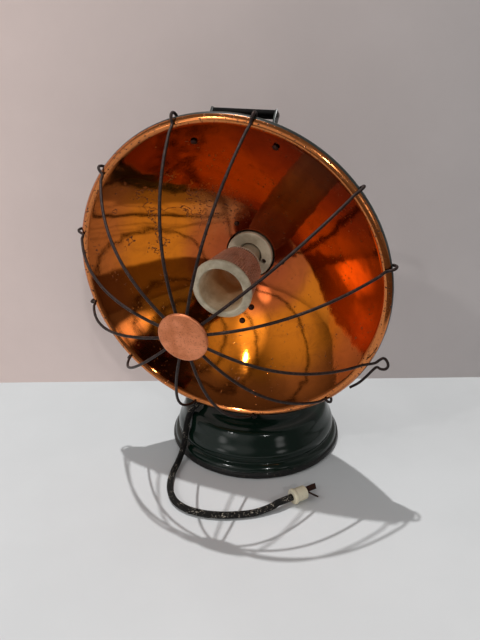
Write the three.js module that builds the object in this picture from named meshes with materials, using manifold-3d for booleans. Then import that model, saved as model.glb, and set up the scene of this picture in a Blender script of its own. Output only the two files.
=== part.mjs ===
// Electric bowl heater of the 1920s: a spun copper bowl with a wound porcelain element at its focus,
// a wire guard, a carrying handle and a tilting hinge on a post over a round enamelled base.
// Millimetres, +Z up, the bowl faces -Y. The origin is on the floor, at the middle of the base.
import * as THREE from "three";
import { mergeVertices } from "three/addons/utils/BufferGeometryUtils.js";
import Module from "manifold-3d";

const wasm = await Module();
wasm.setup();

// ---------------------------------------------------------------- driving dimensions

const SEAT = 0.3; // gap left between two pieces that touch

// Bowl, in the dish frame: z runs forward along the axis from the plane of the rim.
const BOWL_MOUTH_R = 157; // inside of the mouth
const BOWL_DEPTH = 95;
const BOWL_SHEET = 1.2;
const BOWL_OPENING_R = 29.3; // hole at the bottom, round the socket
const BOWL_STEPS = 8; // rings from the opening to the mouth
const BOWL_SEGMENTS = 36;
const RIM_WIDTH = 8; // from the mouth to the outside of the rolled rim
const RIM_R = BOWL_MOUTH_R + RIM_WIDTH;
const RIM_LIP = 1.1; // how far the lip stands forward
const RIM_SKIRT = 7; // how far the rim turns back
const RIM_FLOOR_GAP = 67.4; // from the floor to the rim's height, under its centre
const RIM_CENTRE = new THREE.Vector3(0, -110.7, RIM_R + RIM_FLOOR_GAP);
const BOWL_DROOP = 9.2; // degrees that the axis points below level in the photographed pose

// Element: a core that tapers to the rear, thick rings on both ends and a winding between them
const CORE_FRONT = 8.5; // front face of the core, along the axis
const CORE_LENGTH = 62.5; // front ring to rear ring
const CORE_FRONT_R = 28.8; // under the winding, at the front ring
const CORE_REAR_R = 22.2; // under the winding, at the rear ring
const CORE_BORE_R = 23.6;
const CORE_FLOOR_R = 17.5; // the bore at its floor
const CORE_FLOOR = 10; // porcelain behind the bore
const FRONT_RING_R = 32.1;
const FRONT_RING_LENGTH = 6;
const FRONT_RING_SLOPE = 4.5; // from the front face back to the ring's widest place
const REAR_RING_R = 24.3;
const REAR_RING_LENGTH = 3;
const CORE_CHAMFER = 1;
const WINDING_TURNS = 16;
const WINDING_WIRE_R = 1;
const WINDING_STEPS = 16; // steps in one turn
const WINDING_MARGIN = 3.4; // from each ring to the first turn

// Socket
const SOCKET_FACE = -87;
const SOCKET_FLANGE_R = 27;
const SOCKET_FLANGE_THICKNESS = 6;
const SOCKET_BODY_R = 25;
const SOCKET_RECESS_R = 14.6;
const SOCKET_RECESS_DEPTH = 3.5;
const SOCKET_LENGTH = 31;
const SPIGOT_R = 12.5;
const SPIGOT_LENGTH = 26;
const SOCKET_SCREW_CIRCLE = 18.2;
const SOCKET_SCREW_TURN = -20; // degrees, first of the two screws
const SOCKET_SCREW_R = 1.6;
const SOCKET_SCREW_HEAD_R = 2.6;
const SOCKET_SCREW_HEAD_HEIGHT = 1.4;
const SOCKET_SCREW_POINT = 5; // how far the screws stand out behind the socket

// Housing behind the bowl
const HOUSING_R = 33;
const HOUSING_SHEET = 1.5;
const HOUSING_FLANGE_R = 45;
const HOUSING_LEAD_R = 8; // hole in the middle of the housing's back
const HOUSING_RIVET_CIRCLE = 39;
const HOUSING_RIVETS = 3;
const HOUSING_RIVET_TURN = -10;
const HOUSING_RIVET_R = 1.5;
const HOUSING_RIVET_HEAD_R = 2.8;
const HOUSING_RIVET_HEAD_HEIGHT = 1.1;
const COVER_LENGTH = 24;
const COVER_DOME = 6;
const COVER_CROWN = 9; // how far in from the cover's side its flat back begins

// Guard
const GUARD_DEPTH = 97; // how far the guard bulges in front of the rim
const GUARD_FULLNESS = 2.66; // exponent of the bulge
const GUARD_SPAN_R = RIM_R - 2;
const GUARD_WIRE_R = 1.4;
const GUARD_WIRE_SIDES = 5;
const GUARD_START_R = 9;
const GUARD_ARC_STEPS = 8;
const GUARD_TURNS = [102, 76.2, 38, 11.4, -24.8, -48.5, -81.5, -107.5, -141, -168.5, 162, 135.5];
const SPRUNG_WIRE = 4; // place in the list of the wire whose eye has come off the rim
const HOOK_STEPS = 9;
const HOOK_START = 78; // degrees, where the wire leaves the lip for its hook
const HOOK_SWEEP = 228; // degrees that the hook turns
const HOOK_CLEARANCE = 0.85; // between the hook and the rim's front and back
const HOOK_INSET = 2.7; // from the outside of the rim in to the middle of the hook
const HOOK_DROP = 1.45; // from the middle of the rim's height back to the middle of the hook
const HOOK_LEAD = [-3.8, 1.2]; // from the start of the hook to the last place over the lip
const HOOK_APPROACH = 4.5; // from there to the end of the bulge
// The sprung eye: beyond the outside of the rim, degrees round from the wire, along the axis.
const SPRUNG_EYE = [
  [-4.9, 0.7, 6.5],
  [0.9, 2.2, 4.8],
  [3.2, 3.9, 3.9],
  [5.6, 4.8, 3.2],
  [9.8, 4.1, 2.2],
  [13.8, 2.2, 1],
  [13.2, 0.6, 0],
  [9.6, -0.3, -1],
  [6.2, -0.4, -1.8],
  [4.8, -2.6, -3],
  [4.6, -6.4, -4.6],
  [4.2, -10.8, -6.2],
  [2.6, -14.7, -7.8],
];
const SPRUNG_START = 8; // from the outside of the rim in to the place where the bulge ends
const MEDALLION_R = 23;
const MEDALLION_THICKNESS = 1.6;
const MEDALLION_DOME = 1.4;
const MEDALLION_EDGE = 0.6;
const MEDALLION_STUD_R = 3;
const MEDALLION_STUD_REACH = 2.6; // how far the stud stands out behind the back plate
const MEDALLION_NUT_R = 6;
const BACK_PLATE_R = 19;
const BACK_PLATE_THICKNESS = 1.6;

// Handle: [x, y] of its two screws on the bowl, left and right of the top
const HANDLE_FEET = [
  [-23.8, BOWL_MOUTH_R - 18.5],
  [55.2, BOWL_MOUTH_R - 22.9],
];
const HANDLE_LENGTH = 60;
const HANDLE_THICKNESS = 5.5;
const HANDLE_WIDTH = 9;
const HANDLE_ROUNDING = 2.2;
const HANDLE_STANDOFF = 30; // bowl to middle of the grip
const HANDLE_PIN_R = 1.2;
const HANDLE_PIN_HEAD_R = 2.2;
const HANDLE_PIN_HEAD_HEIGHT = 1.1;
const HANDLE_PIN_REACH = 9; // length of a pin inside the grip
const HANDLE_SCREW_R = 1.8;
const HANDLE_SCREW_HEAD_R = 3.2;
const HANDLE_SCREW_HEAD_HEIGHT = 1.6;
const HANDLE_SCREW_POINT = 3; // how far a screw stands out behind its strap
const STRAP_WIDTH = 9;
const STRAP_THICKNESS = 2;
const STRAP_TOE = 6.5; // from the screw to the outer end of the foot
const STRAP_HEEL = 4.5; // from the screw to the bend of the foot
const STRAP_RISE = 4; // straight part of the strap below the grip

// Hinge and stand
const PIVOT_DROP = 63.6; // from the centre of the rim down to the pivot
const PIVOT = new THREE.Vector3(0, 0, RIM_CENTRE.z - PIVOT_DROP);
const TONGUE_THICKNESS = 8;
const TONGUE_R = 10;
const TONGUE_ROOT = 3; // how much wider than its eye the tongue is at the saddle
const FRICTION_WASHER = 1.2;
const CHEEK_THICKNESS = 4.5;
const BOLT_R = 3;
const BOLT_HEAD_R = 6;
const BOLT_HEAD_HEIGHT = 3.6;
const BOLT_HEAD_CHAMFER = 2;
const NUT_LENGTH = 6;
const NUT_R = 5.5;
const BOLT_POINT = 3; // how far the bolt stands out of the wing nut
// Wing nut: half of its outline, across and away from the fork
const WING_OUTLINE = [
  [5, 0.5],
  [13.5, 6],
  [15, 10],
  [13, 12.5],
  [9.5, 12],
  [4.5, 6.5],
];
const WING_THICKNESS = 2.6;
const SADDLE_LENGTH = 40;
const SADDLE_WIDTH = 26;
const SADDLE_THICKNESS = 5;
const SADDLE_CHAMFER = 2;
const SADDLE_RADIUS_POINT = 69; // distance of the saddle's middle from the bowl's axis
const SADDLE_SCREWS = [
  [1.6, -63.7],
  [-8, -78.6],
];
const SADDLE_SCREW_R = 2;
const SADDLE_SCREW_HEAD_R = 3.6;
const SADDLE_SCREW_HEAD_HEIGHT = 1.6;
const POST_R = 8;
const POST_BORE_R = 5.5;
const SLEEVE_R = 11.5;
const SLEEVE_LENGTH = 20;
const FORK_SLOT_GAP = 2.5; // under the tongue
const FORK_CROTCH = 8; // from the floor of the slot down to the top of the sleeve
const POST_SOCKET = 2; // metal between the top of the post and the fork
const NECK_TOP_R = 16.5;
const COLLAR_HEIGHT = 8;
const COLLAR_STEP = 3; // height of the collar's upright side
const POST_NUT_HEIGHT = 8;

// Base
const BASE_R = 110.7; // over the bead
const BASE_SHEET = 1.6;
const BASE_TOP = 58.5; // flat top round the neck
const NECK_TOP = 88.6;
const BASE_SEGMENTS = 32;
const FOOT_INNER_R = 104.5;
const FOOT_OUTER_R = 108.5;
const PLATE_THICKNESS = 1.5;
const WEIGHT_R = 92;
const WEIGHT_BORE_R = 40;
const WEIGHT_HEIGHT = 16;

// Cord and plug
const CORD_R = 3.75;
const FLOOR_Z = CORD_R + 0.3; // height of the cord's middle where it lies on the floor
const CORD_SIDES = 8;
const CORD_STEPS = 36;
const CORD_HEADING = 227; // degrees round the neck where the cord leaves
const CORD_HEIGHT = 68;
const BUSHING_R = 5.9;
const BUSHING_FLANGE_R = 7;
const BUSHING_FACE = 29.5; // outer face of the bushing from the middle of the neck
const PLUG_R = 7.4;
const PLUG_FLANGE_R = 8.5;
const PLUG_FLANGE_LENGTH = 4.5;
const PLUG_CHAMFER = 1;
const PLUG_LENGTH = 17.5;
const PLUG_START = new THREE.Vector3(82, -130.8, PLUG_FLANGE_R + SEAT);
const PLUG_HEADING = 48; // degrees
const PLUG_ROLL = 111;
const FLAT_BLADE_PLACE = 4.85; // from the plug's axis to the blade that lies flat to the rim
const TURNED_BLADE_PLACE = 3.6; // from the plug's axis to the blade that stands a quarter turn round
const BLADE_WIDTH = 6.35;
const BLADE_THICKNESS = 1.5;
const BLADE_REACH = 16.5;
const BENT_BLADE_REACH = 13;
const BLADE_SEAT = 9; // length of a blade inside the plug
const BENT_BLADE = 40; // degrees that the turned blade is bent
// The cord's way from the bushing over the shoulder of the base and round on the floor to the plug.
const CORD_WAY = [
  [-38.5, -39.8, 65.2],
  [-52.3, -53.5, 61.8],
  [-59.7, -63.1, 57.5],
  [-63.8, -72.0, 50.1],
  [-64.9, -78.6, 40.0],
  [-65.0, -83.6, 28.9],
  [-64.9, -89.5, 18.5],
  [-64.9, -97.9, FLOOR_Z + 6.3],
  [-64.6, -108.6, FLOOR_Z + 1.4],
  [-62.6, -126.1, FLOOR_Z],
  [-58.0, -143.3, FLOOR_Z],
  [-50.0, -159.1, FLOOR_Z],
  [-37.7, -171.7, FLOOR_Z],
  [-21.5, -178.3, FLOOR_Z],
  [-3.8, -179.1, FLOOR_Z],
  [13.7, -176.1, FLOOR_Z],
  [30.6, -170.3, FLOOR_Z],
  [46.6, -162.5, FLOOR_Z],
  [56.4, -155.9, FLOOR_Z + 1.0],
  [65.4, -148.3, FLOOR_Z + 2.8],
];

// ---------------------------------------------------------------- finishes

const finish = (color, roughness, metalness) =>
  new THREE.MeshStandardMaterial({ color, roughness, metalness });
const copperBright = finish(0xc46a2e, 0.12, 1);
const copperSatin = finish(0xd68a5c, 0.45, 0.9);
const wireDark = finish(0x3a2620, 0.6, 0.7);
const porcelain = finish(0xc4bca4, 0.5, 0);
const resistanceWire = finish(0x8a5138, 0.55, 0.7);
const enamelGreen = finish(0x16302a, 0.18, 0);
const blackPaint = finish(0x0d0c0c, 0.35, 0);
const castIron = finish(0x3c3c3d, 0.7, 0.6);
const steel = finish(0x77736c, 0.45, 0.9);
const clothCord = finish(0x14110f, 0.9, 0);
const creamPlastic = finish(0xe8e0c8, 0.45, 0);
const brassDark = finish(0x2a1512, 0.5, 0.6);

// ---------------------------------------------------------------- helpers

const radians = THREE.MathUtils.degToRad;
const AXIS_X = new THREE.Vector3(1, 0, 0);
const AXIS_Z = new THREE.Vector3(0, 0, 1);

// A closed outline of [radius, height] pairs turned round the z axis.
function revolve(outline, segments = 24) {
  let area = 0;
  outline.forEach(([r, z], i) => {
    const [r2, z2] = outline[(i + 1) % outline.length];
    area += r * z2 - r2 * z;
  });
  const ordered = area > 0 ? [...outline] : [...outline].reverse();
  const onAxis = ordered.findIndex(([r], i) => r === 0 && ordered.at(i - 1)[0] === 0);
  const fromAxis = [...ordered.slice(onAxis), ...ordered.slice(0, onAxis)];
  const turned = onAxis >= 0 ? fromAxis : [...ordered, ordered[0]];
  return new THREE.LatheGeometry(
    turned.map(([r, z]) => new THREE.Vector2(r, z)),
    segments,
  ).rotateX(Math.PI / 2);
}

// The same line moved sideways by a distance, to the left of its direction when positive.
function offsetLine(line, distance) {
  return line.map(([r, z], i) => {
    const [ra, za] = line[Math.max(i - 1, 0)];
    const [rb, zb] = line[Math.min(i + 1, line.length - 1)];
    const before = new THREE.Vector2(r - ra, z - za).normalize();
    const after = new THREE.Vector2(rb - r, zb - z).normalize();
    const along = before.clone().add(after).normalize();
    const stretch = Math.max(along.dot(i ? before : after), 0.5);
    return [r - (along.y * distance) / stretch, z + (along.x * distance) / stretch];
  });
}

// A curve through given stations, with one step of an extrusion at each of them.
class StationCurve extends THREE.Curve {
  constructor(stations) {
    super();
    this.stations = stations;
  }
  getUtoTmapping(u) {
    return u;
  }
  getPoint(t, target = new THREE.Vector3()) {
    const place = t * (this.stations.length - 1);
    const i = Math.min(Math.floor(place), this.stations.length - 2);
    return target.lerpVectors(this.stations[i], this.stations[i + 1], place - i);
  }
  getTangent(t, target = new THREE.Vector3()) {
    const last = this.stations.length - 1;
    const i = Math.round(t * last);
    const before = this.stations[Math.max(i - 1, 0)];
    const after = this.stations[Math.min(i + 1, last)];
    return target.subVectors(after, before).normalize();
  }
}

// A round wire or cord along stations.
function wireAlong(stations, radius, sides) {
  const section = Array.from({ length: sides }, (_, i) => {
    const angle = (i / sides) * 2 * Math.PI;
    return new THREE.Vector2(radius * Math.cos(angle), radius * Math.sin(angle));
  });
  return new THREE.ExtrudeGeometry(new THREE.Shape(section), {
    steps: stations.length - 1,
    extrudePath: new StationCurve(stations),
  });
}

// An outline of [x, y] pairs extruded along z, centred on z = 0.
function slab(outline, thickness) {
  const shape = new THREE.Shape(outline.map(([x, y]) => new THREE.Vector2(x, y)));
  const block = new THREE.ExtrudeGeometry(shape, { depth: thickness, bevelEnabled: false });
  return block.translate(0, 0, -thickness / 2);
}

const arcPoints = (cx, cy, radius, from, to, steps) =>
  Array.from({ length: steps + 1 }, (_, i) => {
    const angle = radians(from + ((to - from) * i) / steps);
    return [cx + radius * Math.cos(angle), cy + radius * Math.sin(angle)];
  });

const rod = (radius, from, to, segments = 16) =>
  revolve(
    [
      [0, from],
      [radius, from],
      [radius, to],
      [0, to],
    ],
    segments,
  );

// A dome-headed screw or rivet: the head stands on z = 0 and the shank runs to -length.
function domedScrew(headR, headHeight, shankR, length, segments = 8) {
  const dome = arcPoints(0, 0, 1, 0, 90, 2).map(([x, y]) => [headR * x, headHeight * y]);
  const shank = [
    [0, -length],
    [shankR, -length],
    [shankR, 0],
  ];
  return revolve([...shank, ...dome.slice(0, -1), [0, headHeight]], segments);
}

function toSolid(geometry) {
  const bare = geometry.index ? geometry.toNonIndexed() : geometry.clone();
  bare.deleteAttribute("normal");
  bare.deleteAttribute("uv");
  const merged = mergeVertices(bare, 1e-4);
  return new wasm.Manifold(
    new wasm.Mesh({
      numProp: 3,
      vertProperties: merged.attributes.position.array,
      triVerts: new Uint32Array(merged.index.array),
    }),
  );
}

function toGeometry(solid) {
  const { vertProperties, triVerts } = solid.getMesh();
  const geometry = new THREE.BufferGeometry();
  geometry.setAttribute("position", new THREE.BufferAttribute(vertProperties, 3));
  geometry.setIndex(new THREE.BufferAttribute(triVerts, 1));
  const flat = geometry.toNonIndexed();
  flat.computeVertexNormals();
  return flat;
}

const cut = (geometry, ...tools) =>
  toGeometry(tools.reduce((solid, tool) => solid.subtract(toSolid(tool)), toSolid(geometry)));
const join = (...pieces) => toGeometry(pieces.map(toSolid).reduce((solid, piece) => solid.add(piece)));

// A geometry that was drawn along +z, turned to point along a direction and set at a place.
function aim(geometry, place, direction) {
  const turn = new THREE.Quaternion().setFromUnitVectors(AXIS_Z, direction.clone().normalize());
  return geometry.clone().applyQuaternion(turn).translate(place.x, place.y, place.z);
}

const ring = (inner, outer, from, to, segments = 20) =>
  revolve(
    [
      [inner, from],
      [outer, from],
      [outer, to],
      [inner, to],
    ],
    segments,
  );

const hexNut = (boreR, cornerR, from, to) =>
  cut(rod(cornerR, from, to, 6), rod(boreR, from - 1, to + 1, 24));

function piece(group, name, geometry, material) {
  const mesh = new THREE.Mesh(geometry, material);
  mesh.name = name;
  group.add(mesh);
  return mesh;
}

// ---------------------------------------------------------------- frames

const heater = new THREE.Group();
heater.name = "bowl_heater";
const stand = new THREE.Group(); // stays on the floor
const head = new THREE.Group(); // tilts about the pivot
head.position.copy(PIVOT);
const dish = new THREE.Group(); // the bowl's own frame: z forward along its axis, y up, x level
dish.position.copy(RIM_CENTRE).sub(PIVOT);
dish.rotation.x = radians(90 + BOWL_DROOP);
head.add(dish);
heater.add(stand, head);

// The pivot in the dish frame
const pivotInDish = PIVOT.clone()
  .sub(RIM_CENTRE)
  .applyAxisAngle(AXIS_X, -radians(90 + BOWL_DROOP));

// ---------------------------------------------------------------- bowl

const bowlZ = (r) => -BOWL_DEPTH * (1 - (r / BOWL_MOUTH_R) ** 2);
const bowlSlope = (r) => (2 * BOWL_DEPTH * r) / BOWL_MOUTH_R ** 2;

// A point on the inside of the bowl, and the direction that leaves the bowl there.
function onBowl(x, y) {
  const r = Math.hypot(x, y);
  const place = new THREE.Vector3(x, y, bowlZ(r));
  const outward = new THREE.Vector3((bowlSlope(r) * x) / r, (bowlSlope(r) * y) / r, -1).normalize();
  return { place, outward };
}

const bowlLine = (fromR, toR, steps) =>
  Array.from({ length: steps + 1 }, (_, i) => {
    const r = fromR + ((toR - fromR) * i) / steps;
    return [r, bowlZ(r)];
  });

// Everything inside the bowl's outer face, plus a clearance: cuts what seats on the bowl.
function bowlClearance(clearance) {
  const back = offsetLine(bowlLine(BOWL_OPENING_R, BOWL_MOUTH_R, BOWL_STEPS), -(BOWL_SHEET + clearance));
  return revolve([[0, back[0][1]], ...back, [back.at(-1)[0], 0], [0, 0]], BOWL_SEGMENTS);
}

function bowlGeometry() {
  const inside = bowlLine(BOWL_OPENING_R, BOWL_MOUTH_R, BOWL_STEPS);
  // The bead: a low crest near the mouth that rounds over to the skirt.
  const rim = [
    [BOWL_MOUTH_R + 0.2 * RIM_WIDTH, RIM_LIP],
    [BOWL_MOUTH_R + 0.45 * RIM_WIDTH, 0.8 * RIM_LIP],
    [BOWL_MOUTH_R + 0.73 * RIM_WIDTH, -0.06 * RIM_SKIRT],
    [BOWL_MOUTH_R + 0.93 * RIM_WIDTH, -0.34 * RIM_SKIRT],
    [RIM_R, -0.68 * RIM_SKIRT],
    [RIM_R, -RIM_SKIRT],
  ];
  const front = [...inside, ...rim];
  const back = offsetLine(front, -BOWL_SHEET).reverse();
  return revolve([...front, ...back], BOWL_SEGMENTS);
}

// ---------------------------------------------------------------- handle fixings

const handleFeet = HANDLE_FEET.map(([x, y]) => onBowl(x, y));
const [leftFoot, rightFoot] = HANDLE_FEET;
const handleMiddle = onBowl((leftFoot[0] + rightFoot[0]) / 2, (leftFoot[1] + rightFoot[1]) / 2);
const handleAlong = handleFeet[1].place.clone().sub(handleFeet[0].place).normalize();
const handleUp = handleMiddle.outward
  .clone()
  .addScaledVector(handleAlong, -handleMiddle.outward.dot(handleAlong))
  .normalize();
const handleAcross = new THREE.Vector3().crossVectors(handleUp, handleAlong);
const gripCentre = handleMiddle.place.clone().addScaledVector(handleUp, HANDLE_STANDOFF);
const handleScrewLength = BOWL_SHEET + STRAP_THICKNESS + HANDLE_SCREW_POINT;

const saddleFixings = SADDLE_SCREWS.map(([x, y]) => onBowl(x, y));
const saddleScrewLength = BOWL_SHEET + SADDLE_THICKNESS - 1;

const housingFixings = Array.from({ length: HOUSING_RIVETS }, (_, i) => {
  const turn = radians(HOUSING_RIVET_TURN + (360 / HOUSING_RIVETS) * i);
  return onBowl(HOUSING_RIVET_CIRCLE * Math.cos(turn), HOUSING_RIVET_CIRCLE * Math.sin(turn));
});

const inwardFrom = ({ outward }) => outward.clone().negate();

// A flat facet of the bowl stands a little inside the true curve, so heads inside it are lifted.
function headSeat({ place, outward }) {
  const step = (BOWL_MOUTH_R - BOWL_OPENING_R) / BOWL_STEPS;
  const acrossFacet = Math.hypot(place.x, place.y) * (1 - Math.cos(Math.PI / BOWL_SEGMENTS));
  const alongFacet = (BOWL_DEPTH / BOWL_MOUTH_R ** 2) * (step / 2) ** 2;
  return place.clone().addScaledVector(outward, -(SEAT + acrossFacet + alongFacet));
}
const holeThrough = (fixing, radius, depth) =>
  aim(rod(radius + SEAT, -depth, depth, 8), fixing.place, fixing.outward);

piece(
  dish,
  "reflector_bowl",
  cut(
    bowlGeometry(),
    ...handleFeet.map((foot) => holeThrough(foot, HANDLE_SCREW_R, 5)),
    ...saddleFixings.map((fixing) => holeThrough(fixing, SADDLE_SCREW_R, 5)),
    ...housingFixings.map((fixing) => holeThrough(fixing, HOUSING_RIVET_R, 5)),
  ),
  copperBright,
);

// ---------------------------------------------------------------- element and socket

const coreBack = CORE_FRONT - CORE_LENGTH;
const frontRingBack = CORE_FRONT - FRONT_RING_LENGTH;
const rearRingFront = coreBack + REAR_RING_LENGTH;
const spigotEnd = SOCKET_FACE - SPIGOT_LENGTH;
const boreFloor = coreBack + CORE_FLOOR;

piece(
  dish,
  "element_core",
  revolve(
    [
      [CORE_BORE_R + CORE_CHAMFER, CORE_FRONT],
      [CORE_BORE_R + 2 * CORE_CHAMFER, CORE_FRONT],
      [FRONT_RING_R - CORE_CHAMFER, CORE_FRONT - FRONT_RING_SLOPE * 0.7],
      [FRONT_RING_R, CORE_FRONT - FRONT_RING_SLOPE],
      [FRONT_RING_R, frontRingBack],
      [CORE_FRONT_R, frontRingBack],
      [CORE_REAR_R, rearRingFront],
      [REAR_RING_R, rearRingFront],
      [REAR_RING_R, coreBack + CORE_CHAMFER],
      [REAR_RING_R - CORE_CHAMFER, coreBack],
      [SPIGOT_R, coreBack],
      [SPIGOT_R, spigotEnd],
      [0, spigotEnd],
      [0, boreFloor],
      [CORE_FLOOR_R - 3 * CORE_CHAMFER, boreFloor],
      [CORE_FLOOR_R, boreFloor + 3 * CORE_CHAMFER],
      [CORE_BORE_R, CORE_FRONT - CORE_CHAMFER],
    ],
    24,
  ),
  porcelain,
);

// The winding is one wire: straight out of the front ring, round the core, straight into the rear.
const windingFront = frontRingBack - WINDING_MARGIN;
const windingBack = rearRingFront + WINDING_MARGIN;
const windingPitch = (windingFront - windingBack) / WINDING_TURNS;

// Radius of the wire's middle on the taper, with room for the chords of its steps.
function windingR(z) {
  const share = (z - rearRingFront) / (frontRingBack - rearRingFront);
  const surface = CORE_REAR_R + (CORE_FRONT_R - CORE_REAR_R) * share;
  return (surface + SEAT + WINDING_WIRE_R) / Math.cos(Math.PI / WINDING_STEPS);
}

function windingStations() {
  const onWinding = (step, z) => {
    const angle = (step / WINDING_STEPS) * 2 * Math.PI;
    return new THREE.Vector3(windingR(z) * Math.cos(angle), windingR(z) * Math.sin(angle), z);
  };
  const last = WINDING_TURNS * WINDING_STEPS;
  const turns = Array.from({ length: last + 1 }, (_, i) =>
    onWinding(i, windingFront - (windingPitch * i) / WINDING_STEPS),
  );
  const straight = 2 * WINDING_WIRE_R;
  const frontFace = frontRingBack - SEAT;
  const backFace = rearRingFront + SEAT;
  return [
    onWinding(-2, frontFace),
    onWinding(-2, frontFace - straight),
    onWinding(-1, (frontFace - straight + windingFront) / 2),
    ...turns,
    onWinding(last + 1, (backFace + straight + windingBack) / 2),
    onWinding(last + 2, backFace + straight),
    onWinding(last + 2, backFace),
  ];
}

// The least distance between two stretches of the winding that aren't neighbours along it.
function leastSelfGap(stations, radius) {
  let least = Infinity;
  for (let i = 0; i < stations.length; i += 1)
    for (let j = i + Math.floor(WINDING_STEPS / 2); j < stations.length; j += 1)
      least = Math.min(least, stations[i].distanceTo(stations[j]));
  return least - 2 * radius;
}

const winding = windingStations();
const windingGap = leastSelfGap(winding, WINDING_WIRE_R).toFixed(2);
console.log("least gap of the winding to itself, mm:", windingGap);
piece(dish, "element_winding", wireAlong(winding, WINDING_WIRE_R, 5), resistanceWire);

const socketBack = SOCKET_FACE - SOCKET_LENGTH;
const recessFloor = SOCKET_FACE - SOCKET_RECESS_DEPTH;
const socketScrewPlaces = [0, 180].map((more) => {
  const turn = radians(SOCKET_SCREW_TURN + more);
  return new THREE.Vector3(Math.cos(turn), Math.sin(turn), 0).multiplyScalar(SOCKET_SCREW_CIRCLE);
});

function socketGeometry() {
  const bore = SPIGOT_R + 2 * SEAT;
  const body = revolve(
    [
      [SOCKET_RECESS_R, SOCKET_FACE],
      [SOCKET_FLANGE_R - CORE_CHAMFER, SOCKET_FACE],
      [SOCKET_FLANGE_R, SOCKET_FACE - CORE_CHAMFER],
      [SOCKET_FLANGE_R, SOCKET_FACE - SOCKET_FLANGE_THICKNESS],
      [SOCKET_BODY_R, SOCKET_FACE - SOCKET_FLANGE_THICKNESS],
      [SOCKET_BODY_R, socketBack],
      [0, socketBack],
      [0, spigotEnd - SEAT],
      [bore, spigotEnd - SEAT],
      [bore, recessFloor],
      [SOCKET_RECESS_R, recessFloor],
    ],
    24,
  );
  const headHole = rod(SOCKET_SCREW_HEAD_R + SEAT, recessFloor, SOCKET_FACE + 1, 8);
  const shankHole = rod(SOCKET_SCREW_R + SEAT, socketBack - 1, SOCKET_FACE, 8);
  const holes = socketScrewPlaces.flatMap(({ x, y }) =>
    [headHole, shankHole].map((hole) => hole.clone().translate(x, y, 0)),
  );
  return cut(body, ...holes);
}

piece(dish, "socket_porcelain", socketGeometry(), porcelain);
socketScrewPlaces.forEach(({ x, y }, i) => {
  const length = SOCKET_LENGTH - SOCKET_RECESS_DEPTH + SOCKET_SCREW_POINT;
  const screw = domedScrew(SOCKET_SCREW_HEAD_R, SOCKET_SCREW_HEAD_HEIGHT, SOCKET_SCREW_R, length);
  piece(dish, `socket_screw_${i + 1}`, screw.translate(x, y, recessFloor + SEAT), brassDark);
});

// ---------------------------------------------------------------- housing behind the bowl

const housingFloor = socketBack - SEAT; // the socket stands on it
const housingBack = housingFloor - HOUSING_SHEET;
const coverR = HOUSING_R + SEAT;
const coverFront = housingBack + COVER_LENGTH / 2;
const coverBack = coverFront - COVER_LENGTH;

function housingGeometry() {
  const bowlUnder = bowlLine(HOUSING_R - HOUSING_SHEET, HOUSING_FLANGE_R, 2);
  const flange = offsetLine(bowlUnder, -(BOWL_SHEET + SEAT));
  const under = offsetLine(flange, -HOUSING_SHEET);
  const outline = [
    ...flange,
    under[2],
    under[1],
    [HOUSING_R, under[0][1] - HOUSING_SHEET],
    [HOUSING_R, housingBack],
    [HOUSING_LEAD_R, housingBack],
    [HOUSING_LEAD_R, housingFloor],
    [HOUSING_R - HOUSING_SHEET, housingFloor],
  ];
  const screwHoles = socketScrewPlaces.map(({ x, y }) =>
    rod(SOCKET_SCREW_R + SEAT, housingBack - 1, housingFloor + 1, 8).translate(x, y, 0),
  );
  const rivetHoles = housingFixings.map((fixing) => holeThrough(fixing, HOUSING_RIVET_R, 8));
  return cut(revolve(outline, 24), ...screwHoles, ...rivetHoles);
}

piece(dish, "terminal_housing", housingGeometry(), enamelGreen);
housingFixings.forEach((fixing, i) => {
  const seat = headSeat(fixing);
  const length = BOWL_SHEET + HOUSING_SHEET + 3 * SEAT;
  const rivet = domedScrew(HOUSING_RIVET_HEAD_R, HOUSING_RIVET_HEAD_HEIGHT, HOUSING_RIVET_R, length);
  piece(dish, `housing_rivet_${i + 1}`, aim(rivet, seat, inwardFrom(fixing)), brassDark);
});

piece(
  dish,
  "housing_cover",
  revolve(
    [
      [coverR, coverFront],
      [coverR + HOUSING_SHEET, coverFront],
      [coverR + HOUSING_SHEET, coverBack + COVER_DOME],
      [coverR - COVER_CROWN / 3, coverBack + COVER_DOME / 5],
      [coverR - COVER_CROWN, coverBack],
      [0, coverBack],
      [0, coverBack + HOUSING_SHEET],
      [coverR - COVER_CROWN - HOUSING_SHEET / 3, coverBack + HOUSING_SHEET],
      [coverR - COVER_CROWN / 3 - 1, coverBack + COVER_DOME / 5 + HOUSING_SHEET],
      [coverR, coverBack + COVER_DOME + HOUSING_SHEET / 2],
    ],
    24,
  ),
  enamelGreen,
);

// ---------------------------------------------------------------- guard

const guardZ = (r) => GUARD_DEPTH * (1 - (r / GUARD_SPAN_R) ** GUARD_FULLNESS);
const hookR = (RIM_SKIRT + RIM_LIP) / 2 + GUARD_WIRE_R + HOOK_CLEARANCE;
const hookCentre = [RIM_R - HOOK_INSET, (RIM_LIP - RIM_SKIRT) / 2 - HOOK_DROP];

// The wires lie flat between the medallion's plates.
const hubR = BACK_PLATE_R + 1.5;
const hubZ = guardZ(hubR);

// The wire's line in its own plane, from under the medallion to the lip of the rim.
function guardArc(toR) {
  const arc = Array.from({ length: GUARD_ARC_STEPS + 1 }, (_, i) => {
    const share = Math.sin((i / GUARD_ARC_STEPS) * (Math.PI / 2));
    const r = hubR + (toR - hubR) * share;
    return [r, guardZ(r)];
  });
  return [[GUARD_START_R, hubZ], ...arc];
}

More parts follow.
